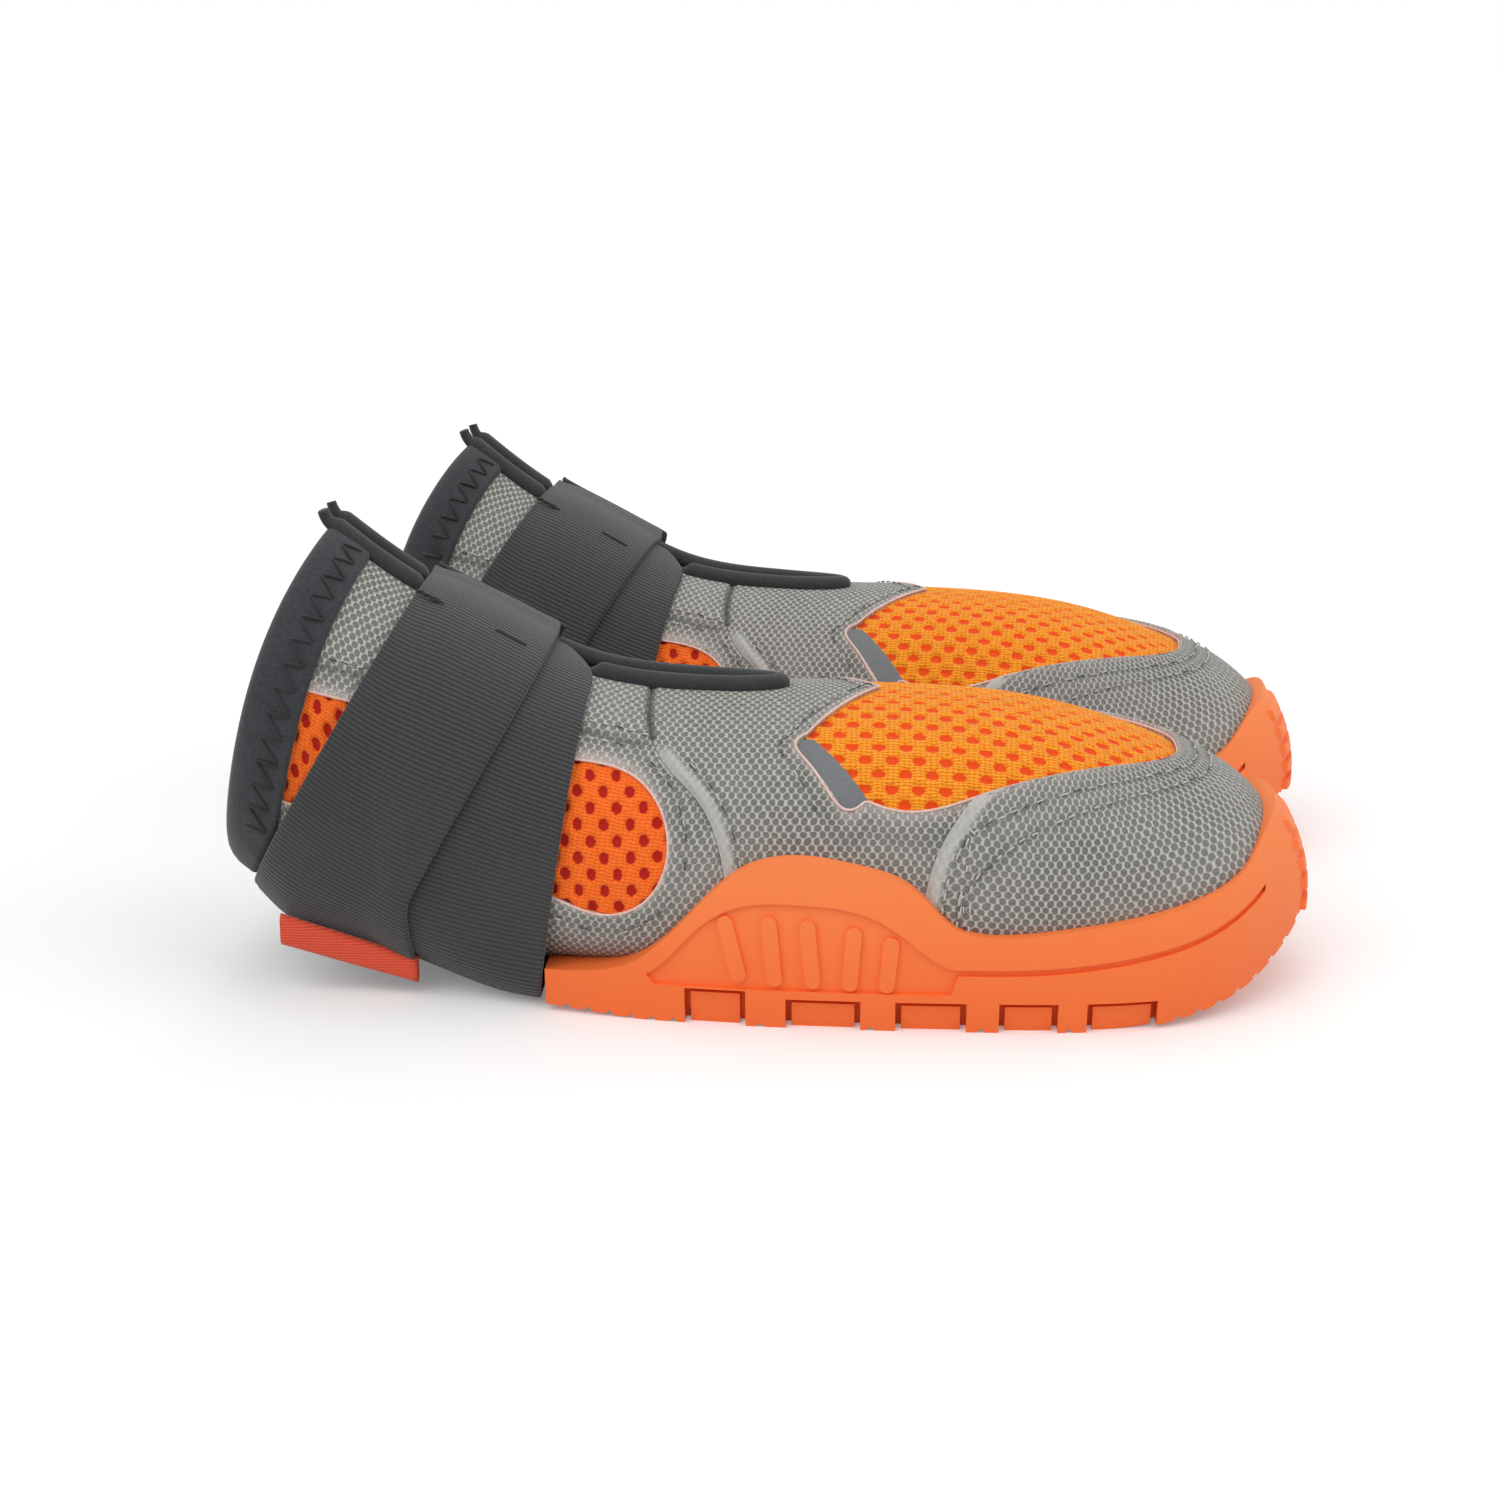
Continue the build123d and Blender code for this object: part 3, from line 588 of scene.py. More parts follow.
# %% From arrays to a placed piece
def piece(side, name, shape, material, part="boot", stands_for=(), uv=None,
          marks=None):
    """A mesh made of arrays, placed in the shared frame, that rides on one of the bodies.

    A part given as (body, start, end) rides on no body: the mesh keeps its baked place, and start and end are
    worked out but not used."""
    mesh = bpy.data.meshes.new(f"{side}_{name}")
    placed = to_row(side, shape["points"])
    corners = np.concatenate([f.ravel() for f in shape["faces"]])
    sizes = np.concatenate([np.full(len(f), f.shape[1]) for f in shape["faces"]])
    mesh.vertices.add(len(placed))
    mesh.vertices.foreach_set("co", placed.astype(np.float32).ravel())
    mesh.loops.add(len(corners))
    mesh.loops.foreach_set("vertex_index", corners.astype(np.int32))
    mesh.polygons.add(len(sizes))
    mesh.polygons.foreach_set("loop_start", np.r_[0, np.cumsum(sizes)[:-1]].astype(np.int32))
    mesh.update(calc_edges=True)
    mesh.shade_smooth()
    if uv is not None:
        layer = mesh.uv_layers.new(name="map")
        layer.data.foreach_set("uv", (uv[corners] * MM).astype(np.float32).ravel())
    for key, values in (marks or {}).items():
        mark = mesh.attributes.new(key, "FLOAT", "POINT")
        mark.data.foreach_set("value", values.astype(np.float32))
    mesh.materials.append(material)
    made = bpy.data.objects.new(f"{side}_{name}", mesh)
    bpy.context.scene.collection.objects.link(made)
    if isinstance(part, str):
        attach(made, f"{side}_{part}")
    else:
        start, end = to_row(side, np.array(part[1:]))
        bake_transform(made)
    if stands_for:
        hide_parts(*[f"{side}_{node}" for node in stands_for])
    return made


# %% One trimmed panel on both boots
def panel(name, us, ws, keep, top, under, softness, material, stands_for, slot, marks=None,
          chart=None):
    """One trimmed panel, made once and placed on both boots.

    The top and each mark may be a function of the flat points and the patch. A chart gives
    the cloth's map in place of the lengths along the grid."""
    patch = trimmed(us, ws, keep)
    flat = body(patch["u"], patch["w"])
    shape = cloth(patch, top(flat, patch) if callable(top) else top, under, softness)
    source = shape["source"]
    values = {k: v(flat, patch)[source] for k, v in (marks or {}).items()}
    made = [piece(side, name, shape, material, stands_for=stands_for,
                  uv=(patch["map"] if chart is None else chart(flat))[source], marks=values)
            for side in SIDES]
    triangles = sum(len(f) * (f.shape[1] - 2) for f in shape["faces"])
    quads, thirds = patch["faces"]
    area = sum(np.linalg.norm(np.cross(flat[f[:, 1]] - flat[f[:, 0]],
                                       flat[f[:, 2]] - flat[f[:, 0]]), axis=1).sum() / 2
               for f in (quads, quads[:, [0, 2, 3]], thirds))
    print(f"{name}: {triangles} triangles a boot, {area / 100:.1f} cm2 of cloth")
    return made, area


print("a panel is worked out once and placed", len(SIDES), "times")

# %% [markdown]
# ## The finishes
#
# Each finish is built from what the real material is made of. A tiled texture file would
# be quicker, but it blurs up close and shows where it repeats, while a pattern made of nodes
# has sizes in metres that can be measured on the cloth. Cloth reads its own map, which is in
# metres along the cloth, so a pattern keeps its size where the panel bends. Moulded parts
# read Object coordinates.
#
# The grey weave is a lattice of pits between raised strands. Modelled strands would need millions of faces, so the
# lattice is a bump and painted shade that darkens the pits, and only the seams are real steps.

# %% Coarse weave
WEAVE_PITCH = (0.00155, 0.00220)


def woven(name, strand, pit, folded, frayed):
    """A coarse weave: a net of strands round oval pits, with folded, sewn and frayed edges. The pits and the seams
    are darkened as painted shade.

    The pits' depth is the larger of (1 + sin a)(1 + sin b)^2 and (1 - sin a)(1 - sin b)^2,
    over 8. It peaks on a staggered lattice, and the strands cross where neither is large."""
    finish = Finish(name, Roughness=0.92, Specular_IOR_Level=0.3)
    spot = finish.where("UV")
    along, round_ = finish.part(spot, "X"), finish.part(spot, "Y")
    wobble = finish.noise(spot, 0.003) * 0.0009 - 0.00045
    a = ((along + wobble) * (2 * math.pi / WEAVE_PITCH[0])).maths("SINE")
    b = ((round_ + wobble) * (2 * math.pi / WEAVE_PITCH[1])).maths("SINE")
    fibres = finish.noise(spot, 0.00035, 3.0)
    patches = finish.noise(spot, 0.018)
    over, under = b + 1.0, 1.0 - b
    pits = ((1.0 - a) * under * under).maths("MAXIMUM", (a + 1.0) * over * over) * 0.125
    strands = 1.0 - (pits + fibres * 0.4 - 0.2).step(0.05, 0.42)
    edge = finish.mark("fold")
    # painted shade: the pit colour darkens the weave's pits between the strands
    colour = finish.blend(strands, pit, strand)
    colour = finish.blend(edge * 0.85, colour, folded)
    # painted shade: the seam mark darkens the seam grooves and, by ROW_SHADE, the sunk rows of sewing
    colour = finish.blend(finish.mark("seam") * 0.8, colour, tuple(0.2 * c for c in pit))
    colour = finish.blend(finish.mark("fray") * (fibres * 0.8 + 0.35), colour, frayed)
    colour = finish.blend((fibres.step(0.3, 0.75) * 0.5 + patches.step(0.3, 0.7) * 0.5) * 0.25,
                          colour, tuple(1.15 * c for c in strand))
    finish.set(**{"Base Color": colour, "Sheen Weight": 0.12})
    finish.bump(strands * (1.0 - edge * 0.8) * 0.75 + fibres * 0.25, 0.0003)
    return finish.material


print("weave:", [round(1000 * pitch, 2) for pitch in WEAVE_PITCH], "mm from pit to pit")

# %% [markdown]
# The orange windows are a spacer mesh, a knit with holes over a second, redder layer. The
# holes will be real dents, so the finish only adds the fine knit and colours each hole by
# the mark that the dents leave.

# %% Air mesh finish
KNIT_ROW, KNIT_COLUMN = 0.00062, 0.0009


def air_mesh(name, knit, shade, hole):
    """A spacer mesh: a fine wavy knit whose holes show the deeper, redder layer, darkened as painted shade inside
    the holes.
    """
    finish = Finish(name, Roughness=0.85, Specular_IOR_Level=0.25)
    spot = finish.where("UV")
    wobble = finish.noise(spot, 0.0016) * 0.0009
    rows = (finish.part(spot, "Y") + wobble).wave(KNIT_ROW)
    columns = (finish.part(spot, "X") + wobble).wave(KNIT_COLUMN)
    threads = rows * 0.65 + columns * 0.35
    depth = finish.mark("hole")
    colour = finish.blend(threads.step(0.1, 0.75), shade, knit)
    # hole colour: the redder lower layer, and painted shade inside the dents, darkest in the side windows
    colour = finish.blend(depth.step(0.45, 0.85), colour, hole)
    finish.set(**{"Base Color": colour, "Sheen Weight": 0.1})
    finish.bump(threads * (1.0 - depth * 0.7), 0.00016)
    return finish.material


print(f"knit rows every {1000 * KNIT_ROW:.2f} mm")

# %% [markdown]
# The strap is woven elastic, with round ribs across its length, and the pull tab is a ribbon
# with finer ones. The ribs could be modelled, but at under a millimetre each a bump carries
# them, and the edge of the web stays straight as on the real strap.

# %% Ribbed webbing
RIB_PITCH, RIBBON_PITCH, WEB_THREAD = 0.00082, 0.0005, 0.00055


def ribbed(name, low, high, pitch):
    """Woven elastic: round ribs across its length, each with a fine thread along it."""
    finish = Finish(name, Roughness=0.78)
    spot = finish.where("UV")
    wobble = finish.noise(spot, 0.006) * 0.0002
    ribs = (finish.part(spot, "X") + wobble).wave(pitch)
    threads = finish.part(spot, "Y").wave(WEB_THREAD)
    fibres = finish.noise(spot, 0.0004, 3.0)
    shade = ribs * 0.65 + threads * 0.2 + fibres * 0.15
    patches = finish.noise(spot, 0.03)
    colour = finish.blend(shade.step(0.15, 0.95), low, high)
    colour = finish.blend(patches.step(0.35, 0.75) * 0.18, colour, tuple(1.5 * c for c in high))
    finish.set(**{"Base Color": colour, "Sheen Weight": 0.2})
    finish.bump(ribs * 0.75 + threads * 0.2, 0.2 * pitch)
    return finish.material


print(f"strap ribs every {1000 * RIB_PITCH:.2f} mm")

# %% [markdown]
# Collar, binding, lining, coated strips, pads and threads have no pattern that can be made out, only a grain. One
# function with the size of the grain serves them all. The rubber is a matt skin, painted paler towards the top as
# light falling from above.

# %% Plain cloth and rubber
def plain_cloth(name, dark, light, grain, depth):
    """A smooth knit or coated cloth: soft noise at the size of its grain."""
    finish = Finish(name, Roughness=0.9)
    spot = finish.where()
    fine, broad = finish.noise(spot, grain, 3.0), finish.noise(spot, 12 * grain)
    colour = finish.blend(fine.step(0.25, 0.75) * 0.6 + broad * 0.4, dark, light)
    finish.set(**{"Base Color": colour, "Sheen Weight": 0.15})
    finish.bump(fine, depth)
    return finish.material


def rubber(name, deep, face, painted_top_light):
    """Matt moulded rubber with a fine grain, painted paler towards the top as light from above."""
    finish = Finish(name, Roughness=0.62)
    spot = finish.where()
    height = finish.part(spot, "Z").step(0.002, 0.034)
    grain, broad = finish.noise(spot, 0.0005, 3.0), finish.noise(spot, 0.02)
    # painted light: Object height blends the face colour towards a paler one at the top
    colour = finish.blend(height * 0.55 + broad * 0.2, face, painted_top_light)
    colour = finish.blend(grain.step(0.5, 0.8) * 0.12, colour, deep)
    finish.set(**{"Base Color": colour, "Roughness": grain * 0.15 + 0.55})
    finish.bump(grain, 0.00006)
    return finish.material


print("finishes for plain cloth and for rubber ready")

# %% The materials
# grey weave colours: strand, pit as painted shade, fold, fray
GREY = woven("grey_weave", srgb(186, 185, 179), srgb(104, 102, 97), srgb(184, 183, 178),
             srgb(218, 200, 194))
MESH_TOP = air_mesh("orange_mesh_top", srgb(252, 166, 36), srgb(234, 112, 6),
                    srgb(232, 76, 12))
MESH_SIDE = air_mesh("orange_mesh_side", srgb(255, 122, 36), srgb(246, 92, 20),
                     srgb(178, 28, 12))
WEBBING = ribbed("charcoal_webbing", srgb(23, 24, 25), srgb(58, 59, 61), RIB_PITCH)
RIBBON = ribbed("red_ribbon", srgb(206, 62, 34), srgb(236, 88, 54), RIBBON_PITCH)
NEOPRENE = plain_cloth("black_neoprene", srgb(34, 36, 39), srgb(56, 59, 63), 0.0006, 0.00012)
STRETCH = plain_cloth("black_stretch", srgb(26, 27, 29), srgb(48, 50, 52), 0.0005, 0.0001)
LINING = plain_cloth("black_lining", srgb(26, 27, 29), srgb(44, 46, 49), 0.0005, 0.0001)
COATED = plain_cloth("grey_smooth", srgb(104, 107, 110), srgb(122, 124, 127), 0.0004, 0.00003)
BOARD = plain_cloth("board", srgb(196, 188, 172), srgb(222, 215, 200), 0.0008, 0.00006)
FOAM = plain_cloth("insole_foam", srgb(52, 52, 54), srgb(74, 74, 77), 0.0007, 0.00008)
LOOPS = plain_cloth("black_loop", srgb(34, 34, 37), srgb(66, 67, 71), 0.00035, 0.0003)
HOOKS = plain_cloth("black_hook", srgb(30, 31, 33), srgb(72, 73, 77), 0.0006, 0.0003)
# painted shade: dark capsules that stand for the shadow in the stitch holes
STITCH_HOLE_SHADE = plain_cloth("stitch_hole_shade", srgb(58, 58, 56), srgb(82, 82, 79), 0.0003, 0.00003)
PALE_THREAD = plain_cloth("pale_thread", srgb(176, 175, 169), srgb(206, 204, 198), 0.0003,
                          0.00003)
BLACK_THREAD = plain_cloth("black_thread", srgb(20, 21, 23), srgb(40, 42, 45), 0.0003, 0.00003)
CUT_EDGE = plain_cloth("cut_edge", srgb(214, 170, 158), srgb(238, 214, 206), 0.0006, 0.00008)
# the last colour is the painted light on the top of the cup
RUBBER = rubber("orange_rubber", srgb(230, 82, 24), srgb(248, 112, 42), srgb(252, 144, 78))
print(len(bpy.data.materials), "materials, the floor's included")

# %% [markdown]
# ## The cup outsole
#
# The sole is one moulding of orange rubber that cups the foot. It could be modelled again from
# a cage with a Subdivision Surface, but its wall, hump, ribs, notches and tread are all exact
# in the CAD shape already. So it keeps that shape and only gets its finish. The board inside
# it is hidden, and gets one too.

# %% Rubber and board
for side in SIDES:
    for node, material in (("outsole", RUBBER), ("lasting_board", BOARD)):
        for held in frame["nodes"][f"{side}_{node}"].material_slots:
            held.material = material
print("soles and boards finished:", 2 * len(SIDES), "CAD pieces")

# %% [markdown]
# ## Panels of the upper
#
# The upper is sewn from flat pattern pieces: the quarter wraps the heel and the sides, the
# saddle bridges the instep, and the toe cap overlaps it in front. They could be separate
# shapes, each drawn by itself, but neighbours that share one drawn line always meet. A folded
# edge stands a little proud and is paler, so the distance from that edge goes to the material
# as a mark.

# %% Drawn outlines
# Side view, x and z in mm: the mouth's rim, the rubber's top edge, the front of the quarter,
# the rear of the toe cap, and the side window, whose rear lies under the strap
RIM = np.array([(-98.5, 8.0), (-91.2, 32.5), (-85.6, 53.8), (-66.0, 92.0)])
SOLE_TOP = np.array([
    (-38.0, -60.0), (-36.5, 7.8), (-28.0, 8.3), (-21.0, 10.2), (-15.5, 14.4), (-8.7, 21.6),
    (-2.0, 27.4), (6.0, 29.5), (17.5, 28.2), (25.0, 25.9), (30.0, 21.8), (33.5, 18.6),
    (38.5, 17.2), (49.0, 17.7), (65.5, 20.0), (76.0, 22.6), (82.0, 25.6), (85.2, 29.2),
    (88.5, 32.3), (98.0, 33.0)])
QUARTER_FRONT = [(-17.5, 64.0), (-18.8, 50.0), (-16.4, 43.6), (-9.5, 37.2), (-5.5, 28.5),
                 (-4.5, 15.0), (-4.5, -6.0)]
TOE_CAP_REAR = [(45.0, 60.0), (39.5, 42.0), (33.6, 35.3), (30.1, 29.3), (28.3, 22.0),
                (28.0, -6.0)]
WINDOW_FRONT = [(-36.0, 44.6), (-31.0, 43.3), (-25.5, 42.5), (-20.0, 40.6), (-15.9, 36.4),
                (-14.3, 30.5), (-15.7, 24.0), (-19.2, 19.8), (-24.5, 17.8), (-31.0, 19.2),
                (-38.0, 21.7)]
WINDOW_REAR = [(-84.5, 37.0), (-79.0, 55.8)]
# Plan, x and y in mm: the near half of the toe window, and the coated strip beside it
VAMP_CORNERS = [(20.4, 0.0), (8.3, -17.9), (18.5, -28.0)]
VAMP_FRONT = [(18.5, -28.0), (35.0, -27.6), (41.5, -25.6), (51.0, -22.2), (61.0, -17.2),
              (68.6, -11.2), (72.2, 0.0)]
VAMP_STRIP = [(8.3, -17.9), (18.5, -28.0), (15.4, -29.6), (6.2, -20.4)]
STRIP_ROUNDING = [0.3, 0.3, 2.8, 1.6]
# The front edges of the strap's first and second run, in side view
INNER_EDGE = ((-28.7, 54.7), (-35.4, 11.0))
OUTER_EDGE = ((-34.3, 60.6), (-59.0, 18.6))
STRAP_WIDTH, STRAP_T = 25.0, 1.3
PANEL_T, LINING_T, CAP_RISE, COLLAR_RISE, COLLAR_WIDTH = 1.6, 1.6, 0.9, 0.9, 10.5
LAP = 4.0
print("drawn lines:", len(QUARTER_FRONT), "points for the quarter's front,",
      len(WINDOW_FRONT), "for the side window's")

# %% Outlines made from them
def ahead(points):
    """A closed outline of all that lies in front of a line drawn from crest to keel."""
    line = curve(points, 60)
    return np.concatenate([line, [(200.0, line[-1, 1]), (200.0, line[0, 1])]])


def rounded(corners, radii):
    """An outline whose corners are quadratic Bezier arcs between the fillet's ends."""
    corners, parts = np.asarray(corners, float), []
    t = np.linspace(0, 1, 9)[:, None]
    for i, radius in enumerate(radii):
        at = corners[i]
        back, on = corners[i - 1] - at, corners[(i + 1) % len(corners)] - at
        back, on = back / np.linalg.norm(back), on / np.linalg.norm(on)
        reach = radius / math.tan(math.acos(np.clip(back @ on, -1, 1)) / 2)
        first, second = at + back * reach, at + on * reach
        parts.append((1 - t) ** 2 * first + 2 * t * (1 - t) * at + t * t * second)
    return np.concatenate(parts)


def mirrored(half):
    """A closed plan outline from its near half, given from the rear middle to the front."""
    return np.concatenate([half, half[::-1] * [1, -1]])


SADDLE_ZONE, TOE_ZONE = ahead(QUARTER_FRONT), ahead(TOE_CAP_REAR)
VAMP_PATCH = rounded(VAMP_STRIP, STRIP_ROUNDING)
WINDOW = np.concatenate([curve(WINDOW_FRONT, 70), WINDOW_REAR])
VAMP_WINDOW = mirrored(np.concatenate([VAMP_CORNERS[:2], curve(VAMP_FRONT, 50)]))
THROAT = mirrored(np.concatenate([[(-100.0, -3.6), (-17.5, -3.6)],
                                  curve([(-17.5, -3.6), (-8.0, -3.1), (0.0, -1.3), (3.6, 0.0)],
                                        20)]))
print("side window:", np.ptp(WINDOW, axis=0).round(1), "mm long and high")

# %% Reading a point against the outlines
def side_view(points):
    return points[..., [0, 2]]


def plan(points):
    return points[..., [0, 1]]


def rubber_edge(points):
    """Height of a point above the rubber's top edge beside it."""
    return points[..., 2] - np.interp(points[..., 0], SOLE_TOP[:, 0], SOLE_TOP[:, 1])


RIM_KNOTS = RIM[:, 1]


def past_rim(points):
    """How far a point lies in front of the mouth's rim, along x."""
    z = np.clip(points[..., 2], RIM_KNOTS[0], RIM_KNOTS[-1])
    return points[..., 0] - spline_weights(RIM_KNOTS, z) @ RIM[:, 0]


def behind(points, edge):
    """How far a point lies behind a strap's straight front edge, in side view."""
    (x1, z1), (x2, z2) = edge
    way = np.array([x2 - x1, z2 - z1]) / math.hypot(x2 - x1, z2 - z1)
    middle = np.array([(x1 + x2) / 2, (z1 + z2) / 2])
    return (side_view(points) - middle) @ np.array([way[1], -way[0]])


print("rim is", round(float(-past_rim(body(0.0, 0.0))), 1), "mm in front of the last's end")

# %% Under the strap, and off the slit
def in_band(points, edge, margin=1.2):
    """1 under a strap run, 0 away from it."""
    back = behind(points, edge)
    return smooth(back, -margin, margin) * smooth(STRAP_WIDTH - back, -margin, margin)


def under_strap(points, w):
    """1 where the strap covers a point: two runs on the near side, one on the far side."""
    near = np.maximum(in_band(points, INNER_EDGE), in_band(points, OUTER_EDGE))
    return np.where(w < 0, near, in_band(points, OUTER_EDGE))


def off_throat(points, w):
    """Outside the slit along the crest."""
    return np.where(np.abs(w) < 1, -inside(plan(points), THROAT), 1.0)


def least(*levels):
    """Inside every one of several outlines."""
    return np.minimum.reduce(levels)


(crest_x, crest_z), (keel_x, keel_z) = OUTER_EDGE
lean = math.degrees(math.atan2(crest_x - keel_x, crest_z - keel_z))
print(f"the strap's outer run leans {lean:.0f} degrees")

# %% [markdown]
# The grey panels are cut from one coarse cloth and sewn edge over edge. A smooth grid with a
# bump could suggest the seams, but it would stay smooth in outline. So the grid's cells are
# 0.8 mm, finer than the bends need, and a seam or a folded edge is a real step. Below the
# rubber's edge the cloth tucks in behind the wall, as it does where it is bonded into the cup.

# %% Grid over the last
CELL, ROUND_MM = 0.8, 46.0
TUCK = 0.45


def grid(low, high):
    """Grid lines between two u, and all round the last. One step of w is about 46 mm."""
    us = np.linspace(low, high, int((high - low) / CELL) + 1)
    ws = np.linspace(-2, 2, 2 * int(2.0 * ROUND_MM / CELL) + 1)
    return us, ws


def u_at(x):
    """u where the crest line passes x."""
    us = np.linspace(0, LENGTH, 400)
    return float(np.interp(x, body(us, 0.0)[:, 0], us))


def tucked(points, top):
    """A panel's height, let down behind the rubber's wall below its edge."""
    return top - (top + TUCK) * smooth(-rubber_edge(points), -0.2, 2.2)


print("the crest passes x = 0 at u =", round(u_at(0.0), 1))

# %% Where each grey panel ends
COLLAR_LAP, CAP_LAP = 1.5, 1.5
TOP_SIDE, FAR_OFF = 1.2, 99.0


def quarter_keep(points, w):
    """The quarter: behind the saddle, round the windows, under the collar and into the cup."""
    side = side_view(points)
    return least(past_rim(points) - COLLAR_WIDTH + COLLAR_LAP, -inside(side, SADDLE_ZONE),
                 off_throat(points, w), -inside(side, WINDOW), rubber_edge(points) + LAP)


def vamp_level(points, w):
    """How far outside the toe window a point lies."""
    return np.where(np.abs(w) < TOP_SIDE, -inside(plan(points), VAMP_WINDOW), FAR_OFF)


def strip_level(points, w):
    """How far outside the two coated strips beside the toe window a point lies."""
    flat = plan(points)
    strips = np.maximum(inside(flat, VAMP_PATCH), inside(flat, VAMP_PATCH * [1, -1]))
    return np.where(np.abs(w) < TOP_SIDE, -strips, FAR_OFF)


def toe_level(points, w):
    """How far inside the toe cap's edge a point lies."""
    return np.minimum(inside(side_view(points), TOE_ZONE), vamp_level(points, w))


def saddle_keep(points, w):
    """The saddle: from its folded edge to a lap under the toe cap, round slit and window."""
    return least(inside(side_view(points), SADDLE_ZONE),
                 CAP_LAP - inside(side_view(points), TOE_ZONE), off_throat(points, w),
                 vamp_level(points, w), strip_level(points, w), rubber_edge(points) + LAP)


def toe_keep(points, w):
    """The toe cap: in front of its folded edge, round the toe window and into the cup."""
    return least(toe_level(points, w), strip_level(points, w), rubber_edge(points) + LAP)


print("panels lap", COLLAR_LAP, "mm under the collar and", CAP_LAP, "mm under the toe cap")

# %% [markdown]
# Round the toe the grid's lines crowd together, and a weave that followed them would shear. A
# real toe cap is pulled over the toe, so its threads run round it evenly. The cap's map is
# therefore read from two angles about a point inside the toe.

# %% The toe cap's own map
TOE_MIDDLE_X, TOE_MIDDLE_Z, TOE_CORE = 48.0, 12.0, 8.0
TOE_ROUND, TOE_OVER = 33.0, 30.0


def toe_chart(points):
    """The toe cap's cloth laid out by its turn about an upright axis and its angle of rise.

    The angles are multiplied by the toe's usual radius round and over, which gives mm."""
    forward, up = points[:, 0] - TOE_MIDDLE_X, points[:, 2] - TOE_MIDDLE_Z
    turn = np.arctan2(points[:, 1], forward)
    rise = np.arctan2(up, np.hypot(forward, points[:, 1]) - TOE_CORE)
    return np.stack([TOE_ROUND * turn, TOE_OVER * rise], -1)


tip = toe_chart(body(np.array([LENGTH]), 0.0))[0]
print("the toe's tip lies at", tip.round(1), "mm on the cap's map")

# %% [markdown]
# Sewing pulls thick cloth down along its row, cut cloth frays, and a folded edge is round and
# pale. They could be painted on by hand, but each is only a distance from a drawn line, so
# each is one short function that serves both the height of the cloth and its marks.

# %% Seams, rows and folds
CAP_ROWS, RING_ROW, SADDLE_ROW, MESH_ROW = (3.1, 5.6), 3.0, 3.0, 2.3
LEVEL_SEAM = np.array([(-18.9, 45.0), (-32.0, 47.6), (-80.0, 60.5)])
ROW_HALF, LEVEL_SEAM_HALF, SEAM_HALF = 0.42, 0.4, 0.5
SEAM_FOOT, FOLD_HEAD, ROW_HEAD, AWAY = 46.0, 45.5, 43.0, 20


def groove(distance, half):
    """A soft groove: a bell of half width `half` round distance 0."""
    return np.exp(-(distance / half) ** 2)


def line_distance(flat, line):
    """Distance of flat points from an open line."""
    a, way = line[:-1], np.diff(line, axis=0)
    p = flat.reshape(-1, 1, 2)
    t = np.clip(((p - a) * way).sum(-1) / (way ** 2).sum(-1), 0, 1)
    return np.sqrt((((p - a) - t[..., None] * way) ** 2).sum(-1)).min(1).reshape(flat.shape[:-1])


def upright_seam(p):
    """The seam between quarter and saddle, from the slit down to SEAM_FOOT."""
    off = np.abs(inside(side_view(p), SADDLE_ZONE))
    return groove(off + AWAY * smooth(SEAM_FOOT - p[:, 2], 0.0, 1.5), SEAM_HALF)


def quarter_seam(p):
    """The level seam, and the upright one on the border of the saddle."""
    level = groove(line_distance(side_view(p), LEVEL_SEAM), LEVEL_SEAM_HALF)
    return np.maximum(level, upright_seam(p))


def ring_row(p):
    """The row of sewing round the side window."""
    return groove(inside(side_view(p), WINDOW) + RING_ROW, ROW_HALF)


def saddle_row(p, g):
    """The rows of sewing behind the saddle's folded edge and round the toe window."""
    rear = (inside(side_view(p), SADDLE_ZONE) - SADDLE_ROW
            + AWAY * smooth(p[:, 2] - ROW_HEAD, 0.0, 2.0))
    mesh = np.minimum(vamp_level(p, g["w"]), strip_level(p, g["w"])) - MESH_ROW
    return np.maximum(groove(rear, ROW_HALF), groove(mesh, ROW_HALF))


def cap_rows(p, g):
    """The two rows of sewing round the toe cap."""
    level = toe_level(p, g["w"])
    return np.maximum.reduce([groove(level - inset, ROW_HALF) for inset in CAP_ROWS])


print("rows of sewing", CAP_ROWS, "mm in from the toe cap's edge")

# %% Frayed and folded edges
FRAY_LINE, FRAY_SLOPE = 34.0, 0.2
SADDLE_FOLD, CAP_FOLD = 2.2, 2.5
SWELL = 0.1


def quarter_fray(p, g):
    """Cut cloth frays a little: most above the window, least along its front."""
    outside = -inside(side_view(p), WINDOW)
    above = smooth(p[:, 2] - (FRAY_LINE - FRAY_SLOPE * p[:, 0]), -2.0, 5.0)
    return (1 - smooth(outside, 0.3, 0.7 + 1.3 * above)) * (0.35 + 0.5 * above)


def window_fray(p, g):
    """The cut edge round the toe window and the coated strips frays evenly."""
    edge = np.minimum(vamp_level(p, g["w"]), strip_level(p, g["w"]))
    return (1 - smooth(edge, 0.3, 1.3)) * 0.5


def folded(p, outline, width):
    """1 on the fold of cloth along an outline, 0 past its width."""
    return 1 - smooth(inside(side_view(p), outline), width - 0.5, width + 0.3)


def folded_back(p, g):
    """The saddle's rear edge is folded under, from the level seam down to the rubber."""
    return folded(p, SADDLE_ZONE, SADDLE_FOLD) * smooth(FOLD_HEAD - p[:, 2], 0.0, 2.5)


def slack(points):
    """Sewn cloth isn't quite smooth: long shallow swells up to 0.2 mm deep."""
    x, y, z = np.moveaxis(points, -1, 0)
    return SWELL * (np.sin(x * 0.21 + z * 0.13 + 1.0) * np.sin(z * 0.24 - y * 0.08) - 1.0)


